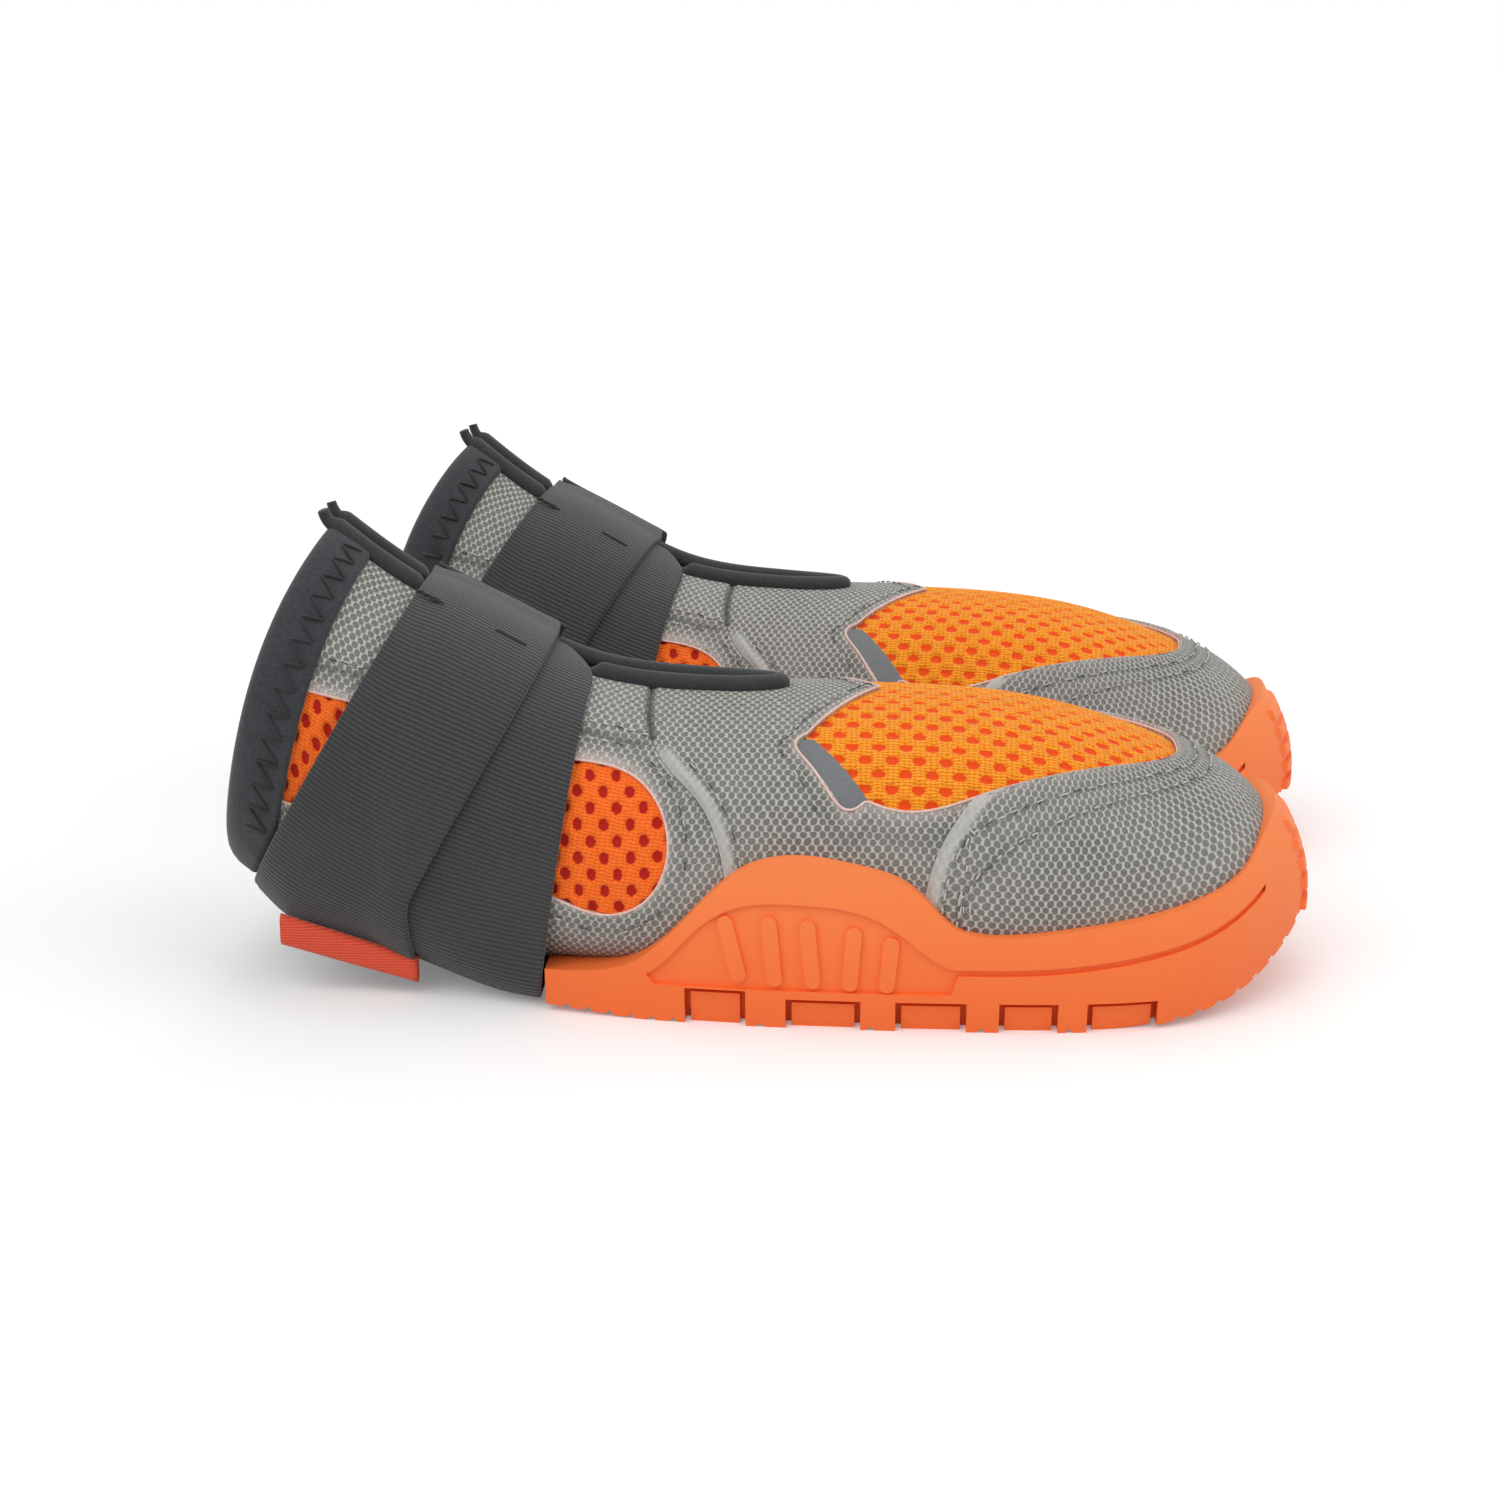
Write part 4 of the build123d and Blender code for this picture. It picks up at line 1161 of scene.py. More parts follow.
def roll(level, width):
    """The rounded back of a folded edge: half a sine over its width."""
    return np.sin(math.pi * np.clip(level / width, 0, 1))


print("folds are", SADDLE_FOLD, "and", CAP_FOLD, "mm wide")

# %% The three grey panels
SEAM_DEPTH, ROW_DEPTH, SADDLE_SEAM_DEPTH, CAP_ROW_DEPTH = 0.45, 0.22, 0.3, 0.25
FOLD_RISE, CAP_FOLD_RISE = 0.5, 0.3
ROW_SHADE = 0.3


def quarter_top(p, g):
    """Seams and rows sink into the quarter."""
    return tucked(p, slack(p) - SEAM_DEPTH * quarter_seam(p) - ROW_DEPTH * ring_row(p))


def saddle_top(p, g):
    """Seams and rows sink in, and the folded edge stands proud with a rounded back."""
    back = 0.35 + roll(inside(side_view(p), SADDLE_ZONE), SADDLE_FOLD + 0.2)
    return tucked(p, slack(p) - ROW_DEPTH * saddle_row(p, g) - SADDLE_SEAM_DEPTH * upright_seam(p)
                  + FOLD_RISE * folded_back(p, g) * back)


def toe_top(p, g):
    """The cap lies over its neighbours, with a rolled rear edge."""
    back = roll(inside(side_view(p), TOE_ZONE), CAP_FOLD + 0.2)
    return tucked(p, CAP_RISE + slack(p) - CAP_ROW_DEPTH * cap_rows(p, g) + CAP_FOLD_RISE * back)


# each seam mark is painted shade in the seam grooves and along the rows of sewing
quarter, quarter_area = panel(
    "quarter_cloth", *grid(0.0, u_at(2.0)), quarter_keep, quarter_top, -PANEL_T, 0.45, GREY,
    ["quarter_panel"], "grey_weave",
    {"seam": lambda p, g: np.maximum(quarter_seam(p), ROW_SHADE * ring_row(p)),
     "fray": quarter_fray})
saddle, saddle_area = panel(
    "saddle_cloth", *grid(u_at(-26.0), u_at(62.0)), saddle_keep, saddle_top, -PANEL_T, 0.5, GREY,
    ["saddle_panel"], "grey_weave",
    {"fold": folded_back, "fray": window_fray,
     "seam": lambda p, g: np.maximum(upright_seam(p), ROW_SHADE * saddle_row(p, g))})
toe_cap, toe_area = panel(
    "toe_cap_cloth", *grid(u_at(18.0), LENGTH), toe_keep, toe_top, -PANEL_T, 0.6, GREY,
    ["toe_cap"], "grey_weave",
    {"fold": lambda p, g: folded(p, TOE_ZONE, CAP_FOLD), "fray": window_fray,
     "seam": lambda p, g: ROW_SHADE * cap_rows(p, g)}, toe_chart)

# %% [markdown]
# ## Mesh windows
#
# The air mesh is a knit with oval holes on a staggered lattice. Dots of colour alone would look
# printed on, and holes cut right through would need far more faces. So the holes are real
# dents in the layer, and a mark carries their depth to the material. The rows are 2.9 mm
# apart, the holes of a row 4.5 mm, and every second row is shifted by half of that.

# %% Air mesh
MESH_CELL = 0.42
HOLE_PITCH, ROW_PITCH = 4.5, 2.9
SIDE_HOLE, SIDE_TURN = (1.0, 1.3), 0.2
TOP_HOLE, TOP_TURN = (1.35, 1.12), 0.0
HOLE_DEPTH, MESH_SUNK, MESH_LAP = 0.6, 0.62, 0.5
MESH_UNDER, MESH_SOFT = -PANEL_T - 0.1, 0.2


def hole_depth(patch, half, turn):
    """1 in the middle of a hole and 0 on the knit: an ellipse round the nearest lattice point."""
    s, t = patch["map"].T
    c, n = math.cos(turn), math.sin(turn)
    s, t = s * c + t * n, t * c - s * n
    row = np.round(t / ROW_PITCH)
    s = s + (row % 2) * HOLE_PITCH / 2
    ds, dt = s - HOLE_PITCH * np.round(s / HOLE_PITCH), t - ROW_PITCH * row
    return 1 - smooth(np.hypot(ds / half[0], dt / half[1]), 0.72, 1.15)


def side_holes(p, g):
    return hole_depth(g, SIDE_HOLE, SIDE_TURN)


def top_holes(p, g):
    return hole_depth(g, TOP_HOLE, TOP_TURN)


def mesh_panel(name, us, ws, view, outline, holes, material, node):
    """A window's mesh: it lies below the panels, laps under them and is dented at its holes."""
    return panel(name, us, ws, lambda p, w: inside(view(p), outline) + MESH_LAP,
                 lambda p, g: -MESH_SUNK - HOLE_DEPTH * holes(p, g), MESH_UNDER, MESH_SOFT,
                 material, [node], "orange_mesh", {"hole": holes})


us = np.linspace(u_at(5.0), u_at(74.5), int(70 / MESH_CELL))
ws = np.linspace(-1.0, 1.0, int(64 / MESH_CELL))
vamp, vamp_area = mesh_panel("vamp_net", us, ws, plan, VAMP_WINDOW, top_holes, MESH_TOP,
                             "vamp_mesh")
us = np.linspace(u_at(-84.0), u_at(-6.0), int(84 / MESH_CELL))
windows, window_area = {}, 0.0
for name, low, high in (("near", -1.75, -0.45), ("far", 0.45, 1.75)):
    ws = np.linspace(low, high, int(60 / MESH_CELL))
    windows[name], area = mesh_panel(f"side_mesh_{name}", us, ws, side_view, WINDOW, side_holes,
                                     MESH_SIDE, "side_mesh")
    window_area += area

# %% [markdown]
# Beside the toe window a smooth coated strip lies between the saddle and the mesh, one on each
# side. It lies a little low and has no pattern, so a coarse grid is enough. It could be part of
# the mesh with another material, but then it would share the mesh's dents.

# %% Coated strips beside the toe window
STRIP_LAP, STRIP_OVER_MESH, STRIP_SUNK = 1.2, 0.3, 0.5

for name, sign in (("near", 1), ("far", -1)):
    zone = VAMP_PATCH * [1, sign]
    us = np.linspace(u_at(3.0), u_at(22.0), 30)
    ws = np.sort(np.linspace(-1.05, -0.35, 40) * sign)
    panel(f"coated_strip_{name}", us, ws,
          lambda p, w: np.minimum(inside(plan(p), zone) + STRIP_LAP,
                                  STRIP_OVER_MESH - inside(plan(p), VAMP_WINDOW)),
          -STRIP_SUNK, -PANEL_T, 0.3, COATED, ["vamp_patch"], "grey_smooth")

# %% [markdown]
# ## Lining, gusset and insole
#
# Inside, a knit lining covers the backs of the panels, a stretch gusset closes the slit from
# below, and a foam insole lies on the board. They show only in the mouth and through the slit,
# so a dark plug would pass for them, but then the boot would be no shell for a foot. They are
# the same surface at greater depths. The insole fills the bottom of the last up to a line
# above the board.

# %% Lining and gusset
BOARD_LINE = np.array([(-120.0, 6.2), (-35.5, 6.2), (-15.0, 7.2), (6.0, 7.4), (48.0, 7.4),
                       (66.0, 8.4), (76.0, 10.8), (84.0, 14.5), (90.0, 19.0)])
INSOLE_T, GUSSET_T = 3.0, 1.0
LINING_FACE = -PANEL_T - LINING_T
SLIT_HALF, GUSSET_HALF = 1.3, 7.5
SLIT_TIP, GUSSET_TIP, TIP_LENGTH = -2.0, 10.0, 22.0
LINING_SHORT, GUSSET_LAP = 1.2, 1
SLIT_TOP_ONLY = 9.0


def slit_half(x, tip, half):
    """Half width of the slit: straight from the mouth, then drawn to a tip over 22 mm."""
    t = np.clip((tip - x) / TIP_LENGTH, 0, 1)
    return np.where(x > tip, -(x - tip), half * np.sqrt(1 - (1 - t) ** 2))


def lining_keep(p, w):
    """The lining ends a little inside the rim and is slit on top."""
    beside = np.abs(p[..., 1]) - slit_half(p[..., 0], SLIT_TIP, SLIT_HALF)
    return least(past_rim(p) - LINING_SHORT, np.where(np.abs(w) < 1, beside, SLIT_TOP_ONLY))


def gusset_keep(p, w):
    """The gusset is a wider slit's shape and starts under the collar's edge."""
    return least(slit_half(p[..., 0], GUSSET_TIP, GUSSET_HALF) - np.abs(p[..., 1]),
                 past_rim(p) - COLLAR_WIDTH + GUSSET_LAP)


us = np.linspace(0.0, LENGTH, int(LENGTH / 2))
ws = np.linspace(-2, 2, 121)
lining, lining_area = panel("lining_cloth", us, ws, lining_keep, -PANEL_T - 0.05, LINING_FACE,
                            0.4, LINING, ["lining"], "black_lining")
us, ws = np.linspace(0.0, u_at(14.0), 60), np.linspace(-0.45, 0.45, 25)
gusset, gusset_area = panel("gusset_cloth", us, ws, gusset_keep, LINING_FACE,
                            LINING_FACE - GUSSET_T, 0.3, STRETCH, ["throat_gusset"],
                            "black_stretch")

# %% [markdown]
# The insole and most of the trims are rods and bands with a section of their own. A curve with
# a bevel object would sweep one section, but here the section changes on the way. So a
# sweep takes a whole ring of points at every place, and its map is measured on the rings.

# %% Sweeping rings of points
def swept(rings, closed=False):
    """A tube through rings of points, capped unless it closes on itself.

    A ring's points run anticlockwise when looked at against the way of the sweep."""
    n, k = rings.shape[:2]
    index = np.arange(n * k).reshape(n, k)
    here, there = (index, np.roll(index, -1, 0)) if closed else (index[:-1], index[1:])
    quads = np.stack([here, np.roll(here, -1, 1), np.roll(there, -1, 1), there],
                     -1).reshape(-1, 4)
    faces = (quads,) if closed else (quads, index[:1, ::-1], index[-1:])
    return {"points": rings.reshape(-1, 3), "faces": faces}


def tube_map(rings):
    """A map for a tube: mm along it and mm round it."""
    step = np.linalg.norm(np.diff(rings, axis=0), axis=2).mean(1)
    along = np.r_[0, np.cumsum(step)]
    girth = np.linalg.norm(np.diff(rings, axis=1), axis=2).mean(0)
    return np.stack(np.meshgrid(along, np.r_[0, np.cumsum(girth)], indexing="ij"),
                    -1).reshape(-1, 2)


print("a sweep is ready for rings that change on the way")

# %% Insole
INSOLE_FROM_X, INSOLE_SHORT = -58.0, 6.0
DISH, LEAST_FOAM = 0.28, 0.15


def insole_rings():
    """Sections of the foam bed: a slightly dished chord above, the lining's curve below.

    The chord runs from edge to edge and sinks by half an ellipse of depth DISH."""
    us = np.linspace(u_at(INSOLE_FROM_X), LENGTH - INSOLE_SHORT, 110)
    drop = np.linspace(0.02, 1.2, 160)
    side = body(us[:, None], 2 - drop, LINING_FACE)
    level = side[..., 2] - np.interp(side[..., 0], BOARD_LINE[:, 0], BOARD_LINE[:, 1]) - INSOLE_T
    width = np.array([np.interp(0.0, row, drop) for row in level])
    t = np.linspace(-1, 1, 33)
    w = np.sign(t + 1e-9) * (2 - width[:, None] * np.abs(t))
    under = body(us[:, None], w, LINING_FACE - 0.05)
    share = ((t + 1) / 2)[None, :, None]
    over = under[:, :1] * (1 - share) + under[:, -1:] * share
    over[..., 2] -= DISH * (1 - t ** 2) ** 0.5
    over[:, 1:-1, 2] = np.maximum(over[:, 1:-1, 2], under[:, 1:-1, 2] + LEAST_FOAM)
    return np.concatenate([under, over[:, -2:0:-1]], axis=1)


rings = insole_rings()
insole = [piece(side, "insole_bed", swept(rings), FOAM, stands_for=["insole"]) for side in SIDES]
print(f"insole: {np.ptp(rings[..., 0]):.0f} mm long and {np.ptp(rings[..., 1]):.0f} mm wide")

# %% [markdown]
# ## The padded collar
#
# The collar is a padded band of neoprene, folded round the mouth and open at the slit. A torus
# could be bent round the mouth, but the mouth's rim isn't flat, and the band has a round rim
# and a flat outer face. So a drawn section is carried round, with its distances measured from
# the rim itself. Where the strap crosses it, the band is pressed flush. `u_where` finds, for
# each w, the u at which a measure of the point reaches a value, by halving an interval.

# %% Finding the rim
SEARCH_TO, HALVINGS = 0.8, 24


def u_where(measure, value, w, height, rising=True):
    """The u at which a measure of the point (u, w) reaches a value, by halving an interval."""
    w, height, value = np.broadcast_arrays(w, height, value)
    a, b = np.zeros(w.shape), np.full(w.shape, SEARCH_TO * LENGTH)
    for _ in range(HALVINGS):
        middle = (a + b) / 2
        over = measure(body(middle, w, height)) > value
        up = over if rising else ~over
        b, a = np.where(up, middle, b), np.where(up, a, middle)
    return (a + b) / 2


print("rim on the crest at u =", round(float(u_where(past_rim, 0.0, 0.0, 0.0)), 1))

# %% Collar
# The section: mm in front of the rim, and mm above the panels
SLIT_W = 0.085
PRESS_FROM, PRESSED = -0.5, 0.8
GATHER, GATHER_AT, GATHER_WIDTH, GATHERS = 0.12, 8.0, 2.5, 37.0
COLLAR_PROFILE = np.array([
    (10.5, 0.0), (10.5, 0.55), (10.2, 0.82), (9.6, 0.9), (6.0, 0.95), (3.2, 0.88), (1.9, 0.55),
    (0.95, -0.05), (0.3, -0.95), (0.0, -1.9), (0.15, -2.9), (0.7, -3.75), (1.7, -4.3),
    (3.2, -4.4), (6.5, -4.4), (9.4, -4.3), (10.5, -3.6), (10.5, -1.7)])


def ring_of_w(count, gap):
    """w round the section from one edge of the slit to the other, by way of the keel."""
    share = np.linspace(0, 1, count)
    near = -(gap + (2 - gap) * np.minimum(2 * share, 1.0))
    return np.where(share <= 0.5, near, 2 - (2 - gap) * (2 * share - 1))


w_ring = ring_of_w(241, SLIT_W)
profile = even(np.concatenate([COLLAR_PROFILE, COLLAR_PROFILE[:1]]), 61)[:-1]
q, h = profile[None, :, 0], profile[None, :, 1]
W = np.repeat(w_ring[:, None], len(profile), 1)
U = u_where(past_rim, np.broadcast_to(q, W.shape), W, 0.0)
flat_points = body(U, W)
press = under_strap(flat_points, W)
H = np.where(h > PRESS_FROM, h - press * (h - PRESS_FROM).clip(0) * PRESSED, h)
gather = (GATHER * np.sin(w_ring * GATHERS)[:, None]
          * np.exp(-((q - GATHER_AT) / GATHER_WIDTH) ** 2) * (h > 0))
rings = body(U, W, H + gather)
collar = [piece(side, "collar_band", swept(rings[:, ::-1]), NEOPRENE, stands_for=["collar"]) for side in SIDES]
print("collar:", len(profile), "points round its section,", len(w_ring), "sections")

# %% [markdown]
# ## Lines on the cloth: beads and stitches
#
# Bindings, cut edges and threads all follow lines drawn on the last. Curve objects could carry
# the beads and an array modifier the stitches, but neither stays square to the cloth. So
# `laid` spaces a line evenly and gives the way along, out and across at each point. A bead is
# an ellipse swept along the line. A stitch is a short capsule whose middle stands proud and
# whose ends dip into the cloth.

# %% Lines and beads
def laid(u, w, height, step):
    """Evenly spaced points of a line on the last, with run, tangent, normal and side."""
    height = np.broadcast_to(height, np.shape(u))
    points = body(u, w, height)
    run = np.r_[0, np.cumsum(np.linalg.norm(np.diff(points, axis=0), axis=1))]
    at = np.linspace(0, run[-1], max(int(round(run[-1] / step)), 3) + 1)
    u, w, height = (np.interp(at, run, v) for v in (u, w, height))
    points, normal = body(u, w, height), outward(u, w)
    tangent = np.gradient(points, axis=0)
    tangent /= np.linalg.norm(tangent, axis=1, keepdims=True)
    side = np.cross(normal, tangent)
    side /= np.linalg.norm(side, axis=1, keepdims=True)
    return {"u": u, "w": w, "run": at, "points": points, "tangent": tangent,
            "normal": normal, "side": side}


def bead(line, half_width, half_height, around=8, closed=False):
    """Rings of an elliptical bead, drawn in at both ends."""
    angle = np.linspace(0, 2 * math.pi, around, endpoint=False)
    ends = np.minimum(line["run"], line["run"][-1] - line["run"])
    reach = np.maximum(np.broadcast_to(half_width, ends.shape), 1e-6)
    taper = 1.0 if closed else np.sqrt(np.clip(ends / reach, 0.02, 1))
    across, up = (np.broadcast_to(v, ends.shape) * taper for v in (half_width, half_height))
    rings = (line["points"][:, None]
             + line["side"][:, None] * (across[:, None] * np.cos(angle))[..., None]
             + line["normal"][:, None] * (up[:, None] * np.sin(angle))[..., None])
    return rings[:-1] if closed else rings


print("beads can follow a line")

# %% Stitches
# Rings of a stitch: share of its half length, lift and width in shares of the thread's radius
CAPSULE = np.array([(-1.0, -1.1, 0.35), (-0.72, 0.15, 0.95), (0.0, 0.5, 1.0),
                    (0.72, 0.15, 0.95), (1.0, -1.1, 0.35)])
STITCH_ROUND = 6
STITCH_POINTS = STITCH_ROUND * len(CAPSULE)


def stitches(points, way, normal, length, radius):
    """Capsules at points: rings of six at shares of the half length, lifted and thinned."""
    side = np.cross(normal, way)
    angle = np.linspace(0, 2 * math.pi, STITCH_ROUND, endpoint=False)
    half = np.broadcast_to(np.asarray(length, float) / 2, len(points))
    along = CAPSULE[:, 0][None, :, None] * half[:, None, None]
    centre = (points[:, None, None] + way[:, None, None] * along[..., None]
              + normal[:, None, None] * (CAPSULE[:, 1] * radius)[None, :, None, None])
    wide = (CAPSULE[:, 2] * radius)[None, :, None, None]
    rings = (centre + side[:, None, None] * wide * np.cos(angle)[None, None, :, None]
             + normal[:, None, None] * wide * np.sin(angle)[None, None, :, None])
    n, k, m = rings.shape[:3]
    index = np.arange(n * k * m).reshape(n, k, m)
    here, there = index[:, :-1], index[:, 1:]
    quads = np.stack([here, np.roll(here, -1, 2), np.roll(there, -1, 2), there],
                     -1).reshape(-1, 4)
    caps = np.concatenate([index[:, 0, ::-1], index[:, -1]])
    return {"points": rings.reshape(-1, 3), "faces": (quads, caps)}


def joined(shapes):
    """Several shapes as one."""
    start, faces = 0, []
    for shape in shapes:
        faces += [f + start for f in shape["faces"]]
        start += len(shape["points"])
    return {"points": np.concatenate([s["points"] for s in shapes]), "faces": tuple(faces)}


def offset(line, by):
    """A flat line moved to its left by `by` mm."""
    way = np.gradient(line, axis=0)
    way /= np.linalg.norm(way, axis=1, keepdims=True)
    return line + np.stack([-way[:, 1], way[:, 0]], -1) * by


def both_sides(drawn):
    """(u, w) of a side-view line on the near side and on the far side."""
    return [seat(drawn, "near"), seat(drawn, "far")]


print("a stitch has", STITCH_POINTS, "points")

# %% [markdown]
# ## The throat binding
#
# A tape of stretch binding is folded over both edges of the slit. It runs down one edge, round
# the tip and back up the other. A bevelled curve would be evenly round, but the real tape is
# flattened where the strap presses on it, so its height is worked out at each point. At the
# mouth its two ends stand up past the collar.

# %% Throat binding
TIP_X, TAPE_Y = 4.5, 3.35
TIP_ROUNDING, STRAIGHT_TO_X, CURVED_LENGTH = 1.6, -24.0, 26.5
TAPE_TOP, TAPE_PRESSED, TAPE_UNDER = 2.0, 1.9, -1.5
TAPE_HALF, TAPE_RIPPLE = 2.2, 0.1


def binding_line():
    """The middle of the tape in plan: two straight runs that close to a rounded tip.

    Near the tip the half width is that of a curve like an ellipse of power 2.2."""
    tip = TIP_X - TIP_ROUNDING
    x = np.concatenate([np.linspace(-100.0, STRAIGHT_TO_X, 140),
                        tip - CURVED_LENGTH * (1 - np.linspace(0, 1, 60)) ** 1.6])
    t = np.clip((tip - x) / 20.0, 0, 1)
    y = TAPE_Y * (1 - (1 - t) ** 2.2) ** 0.5
    near = np.stack([x, -y], -1)
    return np.concatenate([near, near[-2::-1] * [1, -1]])


drawn = binding_line()
u, w = seat(drawn, "plan")
kept = past_rim(body(u, w)) > -0.5
u, w = u[kept], w[kept]
line = laid(u, w, 0.0, 0.8)
flat_out = body(line["u"], line["w"])
crossed = under_strap(flat_out, np.where(line["w"] < 0, -1, 1))
rise = TAPE_TOP - TAPE_PRESSED * crossed
middle, half_up = (rise + TAPE_UNDER) / 2, (rise - TAPE_UNDER) / 2
line["points"] = body(line["u"], line["w"], middle)
wide = TAPE_HALF + TAPE_RIPPLE * np.sin(line["run"] * 0.5)
rings = bead(line, wide, half_up, around=14)
for side in SIDES:
    piece(side, "throat_tape", swept(rings), STRETCH, stands_for=["throat_binding"],
          uv=tube_map(rings))
print(f"tape: {line['run'][-1]:.0f} mm of binding on each boot")

# %% Ends of the binding
# Each path starts on the tape: mm back from its last point, and mm up
TAIL_START, TAIL_HALF, TAIL_HEIGHT, TAIL_SHRINK = (3.0, 0.1), 1.95, 1.15, 0.75
TAIL = {"near": (-1, [(-0.5, 0.1), (-1.0, 0.4), (-1.5, 0.9)]),
        "far": (1, [(-0.5, 0.2), (-1.1, 0.6), (-1.6, 1.1)])}
for name, (sign, path) in TAIL.items():
    start = int(np.argmin(past_rim(line["points"]) + 1e3 * (np.sign(line["w"]) != sign)))
    base, up, over = (line[k][start] for k in ("points", "normal", "side"))
    back = line["tangent"][start] * (-1 if sign < 0 else 1)
    spots = curve([TAIL_START] + path, 16)
    centre = base + back * (-spots[:, :1]) + up * spots[:, 1:]
    forward = np.gradient(centre, axis=0)
    forward /= np.linalg.norm(forward, axis=1, keepdims=True)
    upper = np.cross(forward, over)
    upper *= np.sign((upper @ up))[:, None]
    angle = np.linspace(0, 2 * math.pi, 12, endpoint=False)
    shrink = np.linspace(1.0, TAIL_SHRINK, len(centre))[:, None]
    lateral = np.cross(upper, forward)
    wide, high = TAIL_HALF * shrink * np.cos(angle), TAIL_HEIGHT * shrink * np.sin(angle)
    rings = centre[:, None] + lateral[:, None] * wide[..., None] + upper[:, None] * high[..., None]
    for side in SIDES:
        piece(side, f"tape_end_{name}", swept(rings), STRETCH,
              uv=tube_map(rings))
    print(name, "end stands", round(float(-spots[-1, 0]), 1), "mm past the tape")

# %% [markdown]
# ## The strap
#
# The strap leaves the seam under the near side, crosses the instep, goes round the far side
# and under the heel, and comes up the near side again over its own first turn. A stitched
# bar holds it on the crest, and the free end closes on the far side. A strip could be wrapped
# with a Shrinkwrap modifier, but it would stick to every hollow. Webbing spans hollows and
# keeps its width. In side view each run is a straight band, so the grid's lines are planes at
# fixed distances behind its front edge.

# %% Runs of the strap
BAND_CELL = 0.9
PAD_T, FLAP_CLEARANCE = 0.8, 0.3
FLAP_BASE = STRAP_T + PAD_T + FLAP_CLEARANCE + PAD_T
FLAP_TOP = FLAP_BASE + STRAP_T
HEEL_BEND, HEEL_FROM_Z, HEEL_DROP, CREST_TURN = 6.5, 21.0, 17.0, 9.0
FLAP_ROOT_Y, FLAP_END_Z, FLAP_BEND = 10.0, 33.0, 3.4
ROOT_X, ROOT_Z, END_X = -46.0, 62.0, -56.0


def inner_run(points):
    """How far a point lies behind the front edge of the first run."""
    return behind(points, INNER_EDGE)


def outer_run(points):
    """The outer run bends forwards where it turns under the heel."""
    bend = smooth(HEEL_FROM_Z - points[..., 2], 0.0, HEEL_DROP)
    return behind(points, OUTER_EDGE) + HEEL_BEND * bend


def band_patch(w_line, run, other=None, low=0.0, high=STRAP_WIDTH, height=STRAP_T / 2):
    """A structured patch of a band. With `other`, the band turns to that run at the crest."""
    back = np.linspace(low, high, int((high - low) / BAND_CELL) + 1)
    A, W = np.meshgrid(back, w_line, indexing="ij")

    def depth(points):
        if other is None:
            return run(points)
        share = smooth(points[..., 1], -CREST_TURN, CREST_TURN)
        return run(points) * (1 - share) + other(points) * share

    U = u_where(depth, A, W, height, rising=False)
    points = body(U, W, height)
    way = np.r_[0, np.cumsum(np.linalg.norm(np.diff(points[len(back) // 2], axis=0), axis=1))]
    index = np.arange(A.size).reshape(A.shape)
    faces = np.stack([index[:-1, :-1], index[1:, :-1], index[1:, 1:], index[:-1, 1:]],
                     -1).reshape(-1, 4)
    way = np.broadcast_to(way, A.shape)
    return {"u": U.ravel(), "w": W.ravel(), "map": np.stack([way, A], -1).reshape(-1, 2),
            "faces": (faces[:, ::-1], np.zeros((0, 3), int))}


print(f"strap end lies {FLAP_BASE:.1f} mm above the panels")

# %% One band on both boots
def band(name, patch, top, under, part="boot", stands_for=(), material=WEBBING,
         softness=0.45):
    """A run of webbing or a pad, between two heights that may be functions, on both boots."""
    flat = body(patch["u"], patch["w"])
    shape = cloth(patch, top(flat, patch) if callable(top) else top,
                  under(flat, patch) if callable(under) else under, softness)
    return [piece(side, name, shape, material, part, stands_for,
                  patch["map"][shape["source"]]) for side in SIDES]


print("a band is worked out once and placed", len(SIDES), "times")

# %% Height of the strap
def first_beneath(points):
    """1 where the first turn lies under the second, easing off over the web's stiffness."""
    return 1 - smooth(behind(points, INNER_EDGE) - STRAP_WIDTH, 0.0, 8.0)


SAG, SAG_FROM, SAG_TO, SAG_AT, SAG_WIDTH = 5.8, -66.0, -34.0, -1.62, 0.3
FAR_SAG = 0.4
REAR_SAG, REAR_SAG_AT, REAR_SAG_WIDTH = 2.3, -81.0, 7.5
FLOOR_GAP = 0.5
BAR_FROM, BAR_TO = 2.0, 9.5
KEEL_RISE, KEEL_EASE = 0.2, 0.25
BAR_CLEAR = 0.5


def sag(patch, outer):
    """The web bends less sharply than the heel, so its lower corner stands off the last.

    A bell over w on the near side and a lesser one on the far side. Their size grows towards
    the toe and swells once more behind the heel, and the web stops short of the floor."""
    u, w = patch["u"], patch["w"]
    points, way = body(u, w, outer), outward(u, w)
    size = (SAG * smooth(points[:, 0], SAG_FROM, SAG_TO)
            + REAR_SAG * groove(points[:, 0] - REAR_SAG_AT, REAR_SAG_WIDTH))
    bell = groove(w - SAG_AT, SAG_WIDTH) + FAR_SAG * groove(w + SAG_AT, SAG_WIDTH)
    wanted = size * bell
    room = (points[:, 2] - FLOOR_GAP) / np.maximum(-way[:, 2], 0.05)
    return np.maximum(np.minimum(wanted, room), 0.0)


def second_top(points, patch):
    """One web high, two where it lies on the first turn, and as high as the end at the bar."""
    over = first_beneath(points)
    keel = smooth(2 - np.abs(patch["w"]), 0.0, KEEL_EASE)
    bar = smooth(points[:, 1], BAR_FROM, BAR_TO)
    return (STRAP_T + 0.02 + (KEEL_RISE + (STRAP_T - KEEL_RISE) * over) * keel
            + (FLAP_TOP - 2 * STRAP_T - BAR_CLEAR) * bar + sag(patch, 2 * STRAP_T))


def second_under(points, patch):
    """On the panels, or on the first turn where that lies beneath."""
    over = first_beneath(points)
    keel = smooth(2 - np.abs(patch["w"]), 0.0, KEEL_EASE)
    return 0.04 + (STRAP_T * over) * keel + sag(patch, 2 * STRAP_T)


